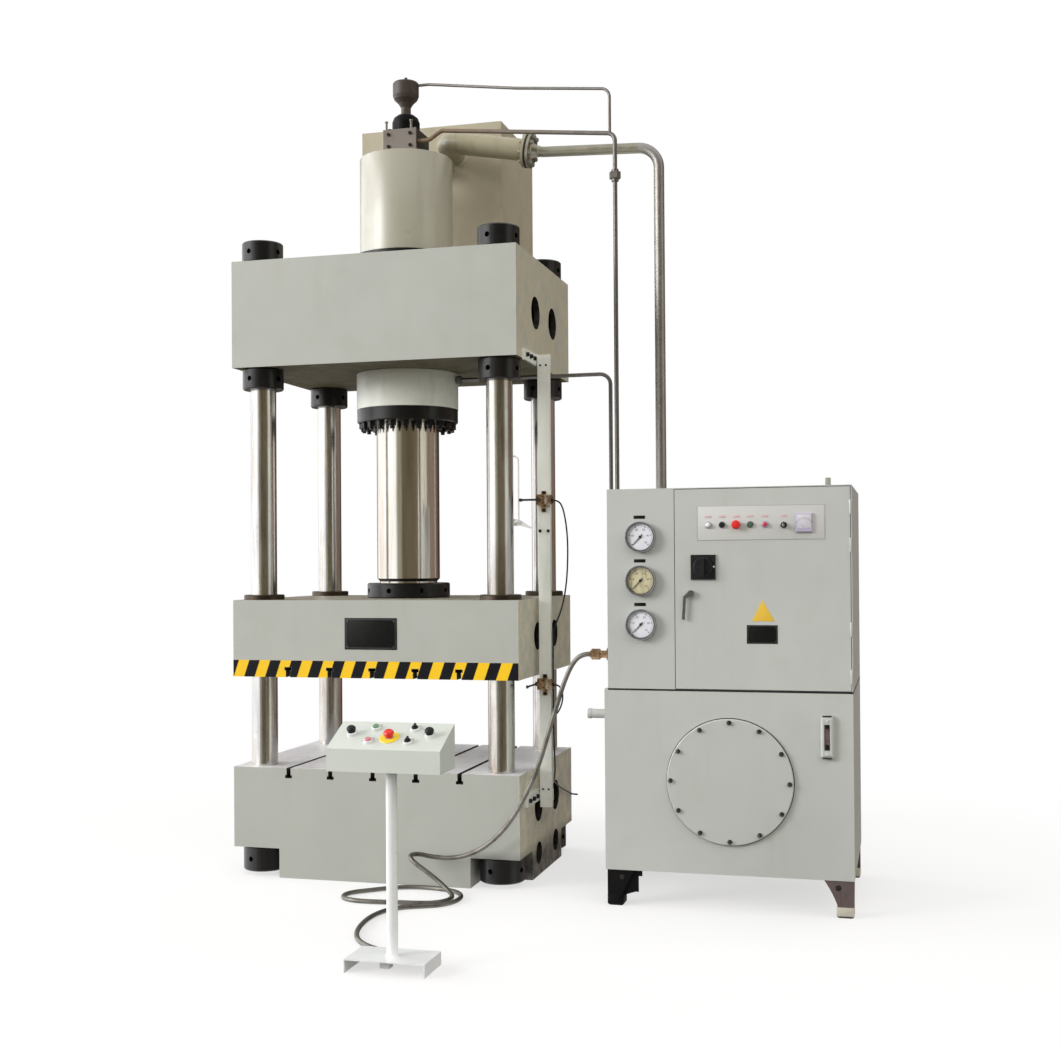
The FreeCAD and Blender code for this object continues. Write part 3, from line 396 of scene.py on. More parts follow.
@dataclass(frozen=True)
class Metal:
    """Bare or plated metal with tool marks, stains and worn patches."""

    name: str
    colour: Colour
    stain: Colour
    staining: float = 0.4
    roughness: float = 0.28
    grain: Grain = Grain.NONE
    depth: float = 0.0
    spotting: float = 1.0
    drag: float = 0.5
    patch: float = 6.0
    clouding: float = 0.0

    def material(self) -> bpy.types.Material:
        """Build the metal's material.

        Returns:
            The material.
        """
        graph = Graph(self.name)
        marks = graph.noise(TOOL_MARKS, stretch=self.grain.value)
        shade = graph.blend(graph.span(marks, 0.35, 0.65), toned(self.colour, 0.9), self.colour)
        if self.clouding > 0:
            clouds = graph.grit(METAL_CLOUDS, 0, self.clouding, self.patch, (1, 1, self.drag * 0.6))
            shade = graph.blend(clouds, shade, METAL_HAZE)
        patches = graph.grit(METAL_PATCHES, 0, self.staining, self.patch, (1, 1, self.drag))
        spots = graph.grit(METAL_SPOTS, 0, self.staining * self.spotting)
        stained = graph.blend(patches, shade, self.stain)
        graph.feed("Base Color", graph.blend(spots, stained, toned(self.stain, 0.6)))
        glossy, dull = self.roughness * GLOSSIEST, self.roughness * DULLEST
        graph.feed("Roughness", graph.span(marks, 0.3, 0.7, glossy, dull))
        if self.depth > 0:
            graph.bump(marks, self.depth, strength=0.5)
        graph.set(Metallic=1.0)
        return graph.material


@dataclass(frozen=True)
class Moulding:
    """Moulded plastic, rubber or print with a fine skin and dust in it."""

    name: str
    colour: Colour
    roughness: float = 0.4
    dust: float = 0.12
    skin: float = 0.0002
    specular: float = 0.5

    def material(self) -> bpy.types.Material:
        """Build the moulding's material.

        Returns:
            The material.
        """
        graph = Graph(self.name)
        pale = tuple(c * 0.6 + 0.18 for c in self.colour)
        graph.feed("Base Color", graph.blend(graph.grit(MOULDING_DUST, 0, self.dust), self.colour, pale))
        glossy, dull = self.roughness * GLOSSIEST, self.roughness * DULLEST
        graph.feed("Roughness", graph.grit(MOULDING_DULLING, glossy, dull))
        graph.bump(graph.noise(MOULDING_SKIN), self.skin, strength=0.4)
        graph.set(Specular_IOR_Level=self.specular)
        return graph.material


@dataclass(frozen=True)
class Glass:
    """Clear instrument glass with a slight haze."""

    name: str
    tint: Colour = (0.95, 0.97, 0.96)

    def material(self) -> bpy.types.Material:
        """Build the glass material.

        Returns:
            The material.
        """
        graph = Graph(self.name)
        graph.feed("Roughness", graph.grit(GLASS_HAZE, 0.02, 0.14))
        graph.set(Base_Color=(*self.tint, 1), Transmission_Weight=1.0, IOR=1.2)
        return graph.material


FINISHES = (
    Enamel("body_paint", srgb(177, 180, 174), BODY_SOIL, soiling=0.08, side_light_and_shade=0.8),
    Enamel("cabinet_paint", srgb(187, 191, 188), srgb(156, 152, 138), soiling=0.14),
    Enamel("stand_paint", srgb(232, 235, 237), srgb(176, 182, 184), soiling=0.2, roughness=0.35),
    Enamel("block_paint", srgb(120, 112, 103), srgb(60, 50, 42), soiling=0.4),
    Enamel("bowl_paint", srgb(66, 56, 50), srgb(20, 15, 13), soiling=0.8, roughness=0.5, coat=0.0,
           specular=0.3, cell=5.0),
    Metal("polished_steel", (0.71, 0.69, 0.65), (0.26, 0.19, 0.13), staining=0.55, roughness=0.19,
          grain=Grain.ALONG_Z, spotting=0.3, drag=0.14, patch=12.0, clouding=0.5),
    Metal("chrome", (0.74, 0.71, 0.66), (0.34, 0.25, 0.16), staining=0.45, roughness=0.14,
          grain=Grain.ALONG_Z, spotting=0.2, drag=0.05, patch=16.0),
    Enamel("black_oxide", srgb(9, 9, 12), srgb(50, 40, 30), soiling=0.3, roughness=0.5, coat=0.65,
           specular=0.1, cell=2.0),
    Enamel("black_paint", srgb(9, 8, 9), srgb(58, 46, 36), roughness=0.5, coat=0.0, specular=0.1),
    Metal("pipe_steel", (0.375, 0.36, 0.345), (0.19, 0.16, 0.13), roughness=0.44, spotting=0.3),
    Metal("bronze", (0.075, 0.058, 0.044), (0.03, 0.025, 0.02), staining=0.5, roughness=0.42,
          grain=Grain.AROUND_Z, spotting=0.4),
    Metal("brass", (0.46, 0.30, 0.17), (0.10, 0.05, 0.03), staining=0.8, roughness=0.34, depth=0.0001,
          spotting=0.6, drag=1.0, patch=55.0),
    Moulding("packing", (0.03, 0.03, 0.03), roughness=0.6),
    Moulding("lead_sheath", (0.014, 0.014, 0.016), roughness=0.5, dust=0.1, specular=0.25),
    Metal("conduit_metal", (0.20, 0.19, 0.17), (0.05, 0.04, 0.03), staining=0.6, roughness=0.42,
          spotting=0.5, drag=1.0, patch=12.0),
    Metal("gauge_case", (0.36, 0.36, 0.40), (0.14, 0.13, 0.15), staining=0.5, roughness=0.24, spotting=0.5,
          drag=1.0, patch=30.0),
    Moulding("pointer", (0.012, 0.012, 0.014), dust=0.0, skin=0.0001, specular=0.25),
    Moulding("black_plastic", (0.012, 0.012, 0.014), dust=0.06, specular=0.22),
    Moulding("red_plastic", srgb(220, 38, 32), roughness=0.25, dust=0.06),
    Moulding("green_plastic", srgb(66, 100, 76), roughness=0.28),
    Moulding("pink_plastic", srgb(206, 124, 132), roughness=0.28),
    Moulding("lilac_plastic", srgb(178, 172, 196), roughness=0.35),
    Enamel("motor_paint", srgb(96, 116, 122), srgb(40, 36, 30), soiling=0.4),
    Metal("plated_steel", (0.56, 0.54, 0.50), (0.22, 0.18, 0.13), roughness=0.3, depth=0.0001),
    # Darker, yellower copies of the body paint for the cylinder, the tank and the fill pipe: partly aged
    # paint, partly painted shade.
    Enamel("cylinder_paint_and_shade", srgb(162, 159, 143), srgb(116, 100, 70), soiling=0.3, roughness=0.34,
           coat=0.8),
    # The cylinder's neck: a lighter paint, lifted further as painted light against the crown's shade.
    Enamel("neck_paint_and_light", srgb(246, 250, 240), srgb(140, 134, 104), soiling=0.25, cell=2.0),
    Enamel("tank_paint_and_shade", srgb(180, 172, 150), srgb(120, 104, 74), soiling=0.3),
    Enamel("fill_paint_and_shade", srgb(162, 155, 130), srgb(96, 82, 54), soiling=0.45, cell=2.0),
    Metal("pipe_olive", (0.355, 0.335, 0.265), (0.18, 0.15, 0.10), roughness=0.42, spotting=0.3),
    # Painted reflection of the tank's tone on the thin pressure pipe in front of it.
    Enamel("pipe_tank_reflection", srgb(122, 102, 80), srgb(62, 44, 32), soiling=0.6, roughness=0.45, coat=0.0,
           specular=0.4, cell=6.0),
    Enamel("leg_worn", srgb(98, 86, 86), srgb(44, 34, 32), soiling=0.6, roughness=0.5, coat=0.0,
           specular=0.2, cell=4.0),
    # Painted shade: the crown's underside is a darkened, mottled copy of the body paint.
    Enamel("underside", srgb(104, 98, 77), srgb(18, 15, 10), soiling=0.95, roughness=0.6, coat=0.0,
           specular=0.2, cell=3.0),
    # Slide's top: darker for oil on it, and painted shade from the crown above.
    Enamel("slide_top_oil_and_shade", srgb(150, 147, 132), srgb(92, 80, 58), soiling=0.5, cell=2.0),
    # Bed's top: pale table tone, lightened further as painted light from above.
    Enamel("table_top_and_light", srgb(231, 231, 235), srgb(168, 146, 122), soiling=0.5, roughness=0.4, coat=0.0,
           cell=2.0),
    Enamel("block_shade", srgb(40, 34, 32), srgb(14, 11, 10), soiling=0.6, roughness=0.5, coat=0.0,
           specular=0.2, cell=3.0),
    # The rail: pale paint, made paler still as painted light where the press shades it.
    Enamel("rail_paint_and_light", srgb(228, 230, 224), srgb(140, 132, 112), soiling=0.25, cell=2.0),
    Enamel("console_paint", srgb(205, 211, 205), srgb(160, 166, 160), soiling=0.2, roughness=0.35),
    Enamel("rod_paint", srgb(232, 233, 232), srgb(150, 148, 142), soiling=0.3, cell=4.0),
    Metal("lever_steel", (0.11, 0.10, 0.10), (0.04, 0.03, 0.03), roughness=0.36, spotting=0.5),
    Metal("handle_steel", (0.27, 0.28, 0.30), (0.10, 0.09, 0.09), roughness=0.3, spotting=0.5, drag=1.0,
          patch=30.0),
    Metal("thin_pipe", (0.20, 0.19, 0.18), (0.12, 0.09, 0.06), staining=0.3, roughness=0.45, spotting=0.3),
    # Painted shade in the frame boxes' hollows and bores, and in their T-slots.
    Moulding("hollow_shade", (0.016, 0.014, 0.012), roughness=0.85, dust=0.3, skin=0.0004, specular=0.1),
    Moulding("slot_shade", (0.034, 0.028, 0.022), roughness=0.55, dust=0.4, skin=0.0004, specular=0.3),
    Moulding("yellow_tape", srgb(252, 204, 14), roughness=0.42, dust=0.06, specular=0.3),
    Moulding("black_tape", (0.006, 0.006, 0.010), roughness=0.5, dust=0.03, specular=0.1),
    Moulding("yellow_ring", srgb(238, 214, 52), roughness=0.35, dust=0.05),
    Moulding("yellow_blank", srgb(228, 188, 58), roughness=0.45, dust=0.25, specular=0.35),
    Moulding("plate_black", (0.006, 0.006, 0.006), roughness=0.45, dust=0.03, specular=0.1),
    Metal("plate_rim", (0.13, 0.13, 0.14), (0.05, 0.05, 0.05), roughness=0.36),
    Moulding("strip_rim", srgb(176, 176, 178), roughness=0.35, dust=0.05),
    Moulding("label_pink", srgb(206, 176, 182), roughness=0.45, dust=0.1),
    Moulding("strip_print", srgb(199, 200, 198), roughness=0.45, dust=0.1, specular=0.35),
    Moulding("bezel_pale", srgb(222, 224, 224), roughness=0.3, dust=0.05),
    Moulding("dial_white", srgb(204, 202, 211), roughness=0.5, dust=0.04),
    Enamel("dial_brown", srgb(186, 176, 146), srgb(92, 70, 42), soiling=0.95, roughness=0.5, coat=0.0,
           specular=0.3, cell=9.0),
    Moulding("dial_ink", (0.010, 0.010, 0.014), roughness=0.5, dust=0.0, skin=0.0001, specular=0.1),
    Moulding("white_lens", srgb(232, 232, 230), roughness=0.2, dust=0.05),
    Moulding("red_lens", srgb(196, 54, 84), roughness=0.2, dust=0.05),
    Moulding("green_lens", srgb(112, 146, 120), roughness=0.2, dust=0.05),
    Moulding("rubber_seal", (0.016, 0.016, 0.016), roughness=0.65, dust=0.1, specular=0.2),
    Glass("dial_glass"),
    Glass("oil_glass", (0.60, 0.50, 0.50)),
    Metal("switch_shell", (0.52, 0.40, 0.30), (0.16, 0.08, 0.05), staining=0.7, roughness=0.36,
          spotting=0.8, drag=1.0, patch=50.0),
    Enamel("lug_grey", srgb(150, 148, 140), srgb(90, 84, 70), soiling=0.3),
    Enamel("pale_pad", srgb(196, 192, 178), srgb(110, 100, 84), soiling=0.5, cell=4.0),
)
# Finishes of the CAD nodes that don't wear the one named after their material slot. The cylinder's, tank's
# and fill pipe's are darker, yellower copies of the body paint: partly aged paint, partly painted shade.
SHADES = {
    "main_cylinder": "cylinder_paint_and_shade", "fill_tank": "tank_paint_and_shade", "fill_pipe": "fill_paint_and_shade",
    "switch_rail": "rail_paint_and_light", "console_box": "console_paint", "pressure_pipe": "thin_pipe",
    "pilot_pipe": "thin_pipe", "return_pipe": "thin_pipe", "striker": "rod_paint",
    "upper_lever": "lever_steel", "lower_lever": "lever_steel", "door_handle": "handle_steel"}


class Wardrobe:
    """Makes each finish's material once, and dresses the CAD nodes and the new pieces."""

    def __init__(self) -> None:
        """Build every material."""
        self.materials = {finish.name: finish.material() for finish in FINISHES}

    def dress_frame(self, frame: dict) -> None:
        """Give every CAD node its finish in its own material slots.
        """
        for part in frame["record"]["subparts"]:
            node = frame["nodes"][part["node"]]
            node.data.materials.clear()
            node.data.materials.append(self.materials[SHADES.get(part["node"], part["material_slot"])])
        log.info("dressed %d frame pieces", len(frame["nodes"]))

    def repaint(self, node: bpy.types.Object, finish: str, holds: Callable[[Vector], bool]) -> None:
        """Give some faces of a piece another finish, such as the insides of its hollows.

        Args:
            node: The piece.
            finish: Name of the finish.
            holds: Says of a face's middle whether it takes the finish.
        """
        node.data.materials.append(self.materials[finish])
        last = len(node.data.materials) - 1
        chosen = [face for face in node.data.polygons if holds(face.center)]
        for face in chosen:
            face.material_index = last
        log.info("%s: %d faces in %s", node.name, len(chosen), finish)

    def fit(self, shape: "Shape", name: str, finish: str, body: str = FRAME, slot: str | None = None
            ) -> bpy.types.Object:
        """Finish a shape as a piece that rides on a body.

        Args:
            shape: The mesh in the making, which is used up.
            name: The piece's name.
            finish: Name of its finish.
            body: The body that carries it.
            slot: Not used.

        Returns:
            The piece.
        """
        piece = shape.close(name)
        piece.data.materials.append(self.materials[finish])
        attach(piece, body)
        log.info("%s: %d faces on %s", name, len(piece.data.polygons), body)
        return piece


# ------------------------------------------------------------------------------ mesh building
def turn_to(direction: Vector) -> Matrix:
    """Return the rotation that takes +Z to a direction."""
    return Vector(direction).to_track_quat("Z", "Y").to_matrix().to_4x4()


def dial_way(degrees: float) -> Vector:
    """Return the way an angle points on an upright dial, from the right and turning left."""
    return Vector((math.cos(math.radians(degrees)), 0, math.sin(math.radians(degrees))))


def circle(centre: Sequence[float], radius: float, count: int, across: Vector, over: Vector,
           start: float = 0.5) -> list[Vector]:
    """Return points spaced evenly round a circle.

    Args:
        centre: The circle's centre.
        radius: Its radius.
        count: How many points.
        across: Unit vector to angle 0.
        over: Unit vector to a quarter turn.
        start: The first point's place, in spaces from angle 0.

    Returns:
        The points.
    """
    angles = [math.tau * (i + start) / count for i in range(count)]
    return [Vector(centre) + (across * math.cos(a) + over * math.sin(a)) * radius for a in angles]


def bar_ring(inner: float, outer: float, low: float, high: float) -> list[tuple[float, float]]:
    """Return the closed profile of a ring with a rectangular section."""
    return [(inner, low), (outer, low), (outer, high), (inner, high), (inner, low)]


def smooth_line(name: str, points: Sequence[Point]) -> bpy.types.Object:
    """Make a smooth curve whose control points are given.

    Args:
        name: The curve object's name.
        points: Its control points.

    Returns:
        The curve object, linked to the scene.
    """
    data = bpy.data.curves.new(name, "CURVE")
    data.dimensions = "3D"
    spline = data.splines.new("NURBS")
    spline.points.add(len(points) - 1)
    for control, point in zip(spline.points, points):
        control.co = (*point, 1)
    spline.order_u = 3
    spline.use_endpoint_u = True
    spline.resolution_u = 8
    line = bpy.data.objects.new(name, data)
    bpy.context.scene.collection.objects.link(line)
    return line


class Shape:
    """One piece's mesh in the making, in the row frame and in metres."""

    sharp_angle = math.radians(32)
    ease_steps = 2

    def __init__(self) -> None:
        """Start with an empty mesh."""
        self.mesh = bmesh.new()

    def ease(self, edges: Iterable[bmesh.types.BMEdge], width: float) -> None:
        """Round some edges over.

        Args:
            edges: The edges.
            width: Radius of the rounding; none at 0.
        """
        if width > 0:
            bmesh.ops.bevel(self.mesh, geom=list(edges), offset=width, segments=self.ease_steps, profile=0.5,
                            affect="EDGES", material=-1)

    def block(self, low: Sequence[float], high: Sequence[float], edge: float = 0.0) -> "Shape":
        """Add a block between two corners with its edges rounded.

        Args:
            low: Lowest corner.
            high: Highest corner.
            edge: Radius of the rounding.

        Returns:
            The shape itself.
        """
        low, high = Vector(low), Vector(high)
        place = Matrix.Translation((low + high) / 2) @ Matrix.Diagonal((*(high - low), 1))
        made = bmesh.ops.create_cube(self.mesh, size=1, matrix=place)
        self.ease({e for v in made["verts"] for e in v.link_edges}, edge)
        return self

    def border(self, area: Area, bar: float, near: float, far: float, edge: float = 0.0) -> "Shape":
        """Add four bars just inside a rectangle on an upright wall.

        Args:
            area: The rectangle: left, right, foot, head.
            bar: Width of a bar.
            near: Where the bars' fronts are along Y.
            far: Where their backs are.
            edge: Radius of the rounding.

        Returns:
            The shape itself.
        """
        left, right, foot, head = area
        bars = ((left, right, foot, foot + bar), (left, right, head - bar, head),
                (left, left + bar, foot + bar, head - bar), (right - bar, right, foot + bar, head - bar))
        for low_x, high_x, low_z, high_z in bars:
            self.block((low_x, near, low_z), (high_x, far, high_z), edge)
        return self

    def rod(self, base: Sequence[float], direction: Vector, radius: float, length: float, edge: float = 0.0,
            sides: int = 32) -> "Shape":
        """Add a round or many-sided bar with its rims rounded.

        Args:
            base: Centre of its foot.
            direction: Which way it runs.
            radius: Its radius.
            length: Its length.
            edge: Radius of the rounding at both rims.
            sides: Facets round it.

        Returns:
            The shape itself.
        """
        direction = Vector(direction).normalized()
        place = Matrix.Translation(Vector(base) + direction * length / 2) @ turn_to(direction)
        made = bmesh.ops.create_cone(self.mesh, cap_ends=True, segments=sides, radius1=radius, radius2=radius,
                                     depth=length, matrix=place)
        around = {e for v in made["verts"] for e in v.link_edges}
        self.ease([e for e in around if any(len(f.verts) > 4 for f in e.link_faces)], edge)
        return self

    def hexagon(self, base: Sequence[float], direction: Vector, flats: float, length: float) -> "Shape":
        """Add a hexagon bar by its width across flats."""
        return self.rod(base, direction, flats / math.sqrt(3), length, flats * 0.03, 6)

    def bolt(self, base: Sequence[float], direction: Vector, flats: float) -> "Shape":
        """Add a washer with a hexagon head and a thread end on it.

        Args:
            base: Where the washer lies.
            direction: Which way the head faces.
            flats: Width across the head's flats.

        Returns:
            The shape itself.
        """
        way, at = Vector(direction).normalized(), Vector(base)
        washer, head, thread = flats * 0.1, flats * 0.55, flats * 0.18
        self.rod(at, way, flats * 0.62, washer, flats * 0.02, 24)
        self.hexagon(at + way * washer, way, flats, head)
        return self.rod(at + way * flats * 0.6, way, flats * 0.3, thread, flats * 0.04, 16)

    def cap_screw(self, base: Sequence[float], direction: Vector, radius: float) -> "Shape":
        """Add a round screw head with a socket in it.

        Args:
            base: Where the head stands.
            direction: Which way it faces.
            radius: The head's radius.

        Returns:
            The shape itself.
        """
        shares = ((0, 0), (1, 0), (1, 0.8), (0.88, 0.95), (0.52, 0.95), (0.5, 0.45), (0, 0.4))
        return self.turned([(radius * out, radius * up) for out, up in shares], base, direction, 18)

    def turned(self, profile: Profile, base: Sequence[float] = (0, 0, 0), direction: Vector = UP,
               steps: int = 48) -> "Shape":
        """Spin a profile of (radius, height) points into a turned piece.

        Args:
            profile: The outline's points; a closed ring repeats its first one.
            base: Where height 0 is on the axis.
            direction: Which way the heights run.
            steps: Facets round it.

        Returns:
            The shape itself.
        """
        part = bmesh.new()
        points = [part.verts.new((radius, 0, height)) for radius, height in profile]
        edges = [part.edges.new(pair) for pair in zip(points, points[1:])]
        bmesh.ops.spin(part, geom=points + edges, axis=(0, 0, 1), cent=(0, 0, 0), angle=math.tau, steps=steps,
                       use_merge=True, use_duplicate=False)
        bmesh.ops.remove_doubles(part, verts=part.verts, dist=1e-6)
        place = Matrix.Translation(Vector(base)) @ turn_to(direction)
        bmesh.ops.transform(part, matrix=place, verts=part.verts)
        return self.take(part)

    def prism(self, outline: Sequence[Sequence[float]], push: Vector, edge: float = 0.0) -> "Shape":
        """Push a flat outline through a vector.

        Args:
            outline: Its corners in order.
            push: How far and which way it is pushed.
            edge: Radius of the rounding.

        Returns:
            The shape itself.
        """
        face = self.mesh.faces.new([self.mesh.verts.new(tuple(corner)) for corner in outline])
        made = bmesh.ops.extrude_face_region(self.mesh, geom=[face])
        moved = [g for g in made["geom"] if isinstance(g, bmesh.types.BMVert)]
        bmesh.ops.translate(self.mesh, vec=push, verts=moved)
        self.ease({e for v in moved for e in v.link_edges} | set(face.edges), edge)
        return self

    def tick(self, centre: Vector, way: Vector, reach: tuple[float, float], half: float, rise: float
             ) -> "Shape":
        """Add one mark of an upright dial's scale.

        Args:
            centre: The dial's centre.
            way: Unit vector from the centre to the mark.
            reach: Where the mark starts and ends along it.
            half: Half the mark's width.
            rise: How far it stands out.

        Returns:
            The shape itself.
        """
        across = Vector((-way.z, 0, way.x)) * half
        inner, outer = (centre + way * along for along in reach)
        return self.prism([outer + across, inner + across, inner - across, outer - across], FORWARD * rise)

    def take(self, part: bmesh.types.BMesh) -> "Shape":
        """Move another mesh into this one.

        Args:
            part: The mesh, which is used up.

        Returns:
            The shape itself.
        """
        carrier = bpy.data.meshes.new("carrier")
        part.to_mesh(carrier)
        part.free()
        self.mesh.from_mesh(carrier)
        bpy.data.meshes.remove(carrier)
        return self

    def close(self, name: str) -> bpy.types.Object:
        """Turn the mesh into an object that is smooth but for its steep edges.

        Args:
            name: The object's name.

        Returns:
            The object, linked to the scene.
        """
        bmesh.ops.recalc_face_normals(self.mesh, faces=self.mesh.faces)
        for face in self.mesh.faces:
            face.smooth = True
        for edge in self.mesh.edges:
            edge.smooth = len(edge.link_faces) == 2 and edge.calc_face_angle(0.0) < self.sharp_angle
        data = bpy.data.meshes.new(name)
        self.mesh.to_mesh(data)
        self.mesh.free()
        piece = bpy.data.objects.new(name, data)
        bpy.context.scene.collection.objects.link(piece)
        return piece


# ------------------------------------------------------------------------------ cords
# Height of the conduit's middle where it lies on the floor.
LYING = 0.0115


@dataclass(frozen=True)
class Cord:
    """One flexible line: where it runs, how long and how thick it is."""

    name: str
    node: str
    finish: str
    diameter: float
    length: float
    stiffness: str
    lay: str
    route: tuple[Point, ...]
    section_steps: int = 4

    def build(self, wardrobe: Wardrobe) -> None:
        """Args:
            wardrobe: Where its sheath comes from.
        """
        line = smooth_line(self.name, self.route)
        line.data.bevel_depth = self.diameter / 2
        line.data.bevel_resolution = self.section_steps
        line.data.use_fill_caps = True
        line.data.materials.append(wardrobe.materials[self.finish])
        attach(line, FRAME)
        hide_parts(self.node)
        log.info("%s laid", self.name)


CORDS = (
    Cord("stand_conduit", "console_conduit", "conduit_metal", 0.022, 4.55, "medium", "loose", (
        (1.132, -0.670, 1.147), (1.102, -0.670, 1.147), (1.056, -0.667, 1.118), (1.010, -0.660, 1.030),
        (0.966, -0.650, 0.900), (0.924, -0.642, 0.775), (0.886, -0.636, 0.655), (0.840, -0.630, 0.540),
        (0.780, -0.622, 0.425), (0.708, -0.614, 0.320), (0.622, -0.608, 0.235), (0.530, -0.604, 0.180),
        (0.430, -0.602, 0.155), (0.335, -0.604, 0.158), (0.262, -0.610, 0.172), (0.226, -0.634, 0.168),
        (0.250, -0.660, 0.146), (0.318, -0.668, 0.106), (0.386, -0.676, 0.062), (0.446, -0.700, 0.024),
        (0.486, -0.752, LYING), (0.488, -0.830, LYING), (0.446, -0.892, LYING), (0.366, -0.914, LYING),
        (0.270, -0.922, LYING), (0.172, -0.936, LYING), (0.076, -0.938, LYING), (0.004, -0.912, LYING),
        (-0.028, -0.850, LYING), (-0.008, -0.784, LYING), (0.060, -0.726, LYING), (0.148, -0.652, LYING),
        (0.232, -0.614, LYING), (0.330, -0.612, LYING), (0.424, -0.634, LYING), (0.496, -0.682, LYING),
        (0.530, -0.760, LYING), (0.528, -0.848, LYING), (0.482, -0.922, LYING), (0.404, -0.964, LYING),
        (0.326, -1.000, LYING), (0.276, -1.066, LYING), (0.252, -1.152, LYING), (0.250, -1.250, LYING),
        (0.262, -1.352, LYING), (0.286, -1.452, LYING), (0.326, -1.544, LYING), (0.384, -1.620, LYING),
        (0.462, -1.676, LYING), (0.540, -1.718, 0.013), (0.584, -1.772, 0.017), (0.586, -1.830, 0.020),
        (0.586, -1.860, 0.020))),
    Cord("upper_switch_lead", "upper_lead", "lead_sheath", 0.008, 2.15, "medium", "hanging", (
        (0.858, -0.248, 1.880), (0.880, -0.248, 1.880), (0.903, -0.248, 1.848), (0.918, -0.246, 1.775),
        (0.926, -0.244, 1.690), (0.926, -0.243, 1.590), (0.920, -0.240, 1.490), (0.905, -0.234, 1.395),
        (0.880, -0.225, 1.315), (0.852, -0.212, 1.262), (0.838, -0.202, 1.190), (0.836, -0.200, 1.080),
        (0.837, -0.200, 0.960), (0.836, -0.201, 0.840), (0.837, -0.200, 0.720), (0.840, -0.196, 0.620),
        (0.836, -0.170, 0.540), (0.816, -0.108, 0.482), (0.793, -0.025, 0.450), (0.778, 0.070, 0.428),
        (0.770, 0.170, 0.392), (0.769, 0.275, 0.360), (0.772, 0.370, 0.330), (0.784, 0.440, 0.308),
        (0.796, 0.484, 0.300), (0.788, 0.510, 0.297), (0.768, 0.518, 0.296), (0.750, 0.518, 0.296))),
    Cord("lower_switch_lead", "lower_lead", "lead_sheath", 0.008, 0.21, "medium", "hanging", (
        (0.858, -0.248, 0.964), (0.874, -0.248, 0.964), (0.892, -0.247, 0.942), (0.897, -0.243, 0.902),
        (0.887, -0.236, 0.862), (0.868, -0.225, 0.828), (0.848, -0.212, 0.810), (0.830, -0.212, 0.810))),
)


# ------------------------------------------------------------------------------ sub-assemblies
@dataclass(frozen=True)
class BlankPlate:
    """A bare black plate with its thin metal border and four screws."""

    name: str
    body: str
    front: float
    area: Area
    thick: float
    edge: float
    inset: float
    bar: float
    rise: float
    sink: float
    screw_inset: tuple[float, float]
    screw: tuple[float, float, float]
    sides: int

    def build(self, wardrobe: Wardrobe) -> None:
        """Fit the plate, its border and its screws.

        Args:
            wardrobe: Where the finishes come from.
        """
        left, right, foot, head = self.area
        face = self.front - self.thick
        plate = Shape().block((left, face, foot), (right, self.front, head), self.edge)
        wardrobe.fit(plate, self.name, "plate_black", self.body)
        left, right, foot, head = left + self.inset, right - self.inset, foot + self.inset, head - self.inset
        rim = Shape().border((left, right, foot, head), self.bar, face - self.rise, face + self.sink)
        over, up = self.screw_inset
        radius, length, edge = self.screw
        for x, z in itertools.product((left + over, right - over), (foot + up, head - up)):
            rim.rod((x, face + self.sink, z), FORWARD, radius, length, edge, self.sides)
        wardrobe.fit(rim, f"{self.name}_rim", "plate_rim", self.body)


SLIDE_PLATE = BlankPlate(
    "slide_plate", SLIDE, -BOX_HALF_DEPTH, (-0.143, 0.132, 1.148, 1.304), thick=0.0022, edge=0.0008,
    inset=0.007, bar=0.0022, rise=0.0006, sink=0.0002, screw_inset=(0.009, 0.009),
    screw=(0.0032, 0.0022, 0.0008), sides=16)
DOOR_PLATE = BlankPlate(
    "door_plate", DOOR, CABINET_FRONT, (1.857, 1.993, 1.203, 1.286), thick=0.0018, edge=0.0006,
    inset=0.004, bar=0.0018, rise=0.0005, sink=0.0001, screw_inset=(0.006, 0.0065),
    screw=(0.002, 0.0016, 0.0006), sides=14)


@dataclass
class Assembly:
    """A sub-assembly that takes its finishes from a wardrobe."""

    wardrobe: Wardrobe


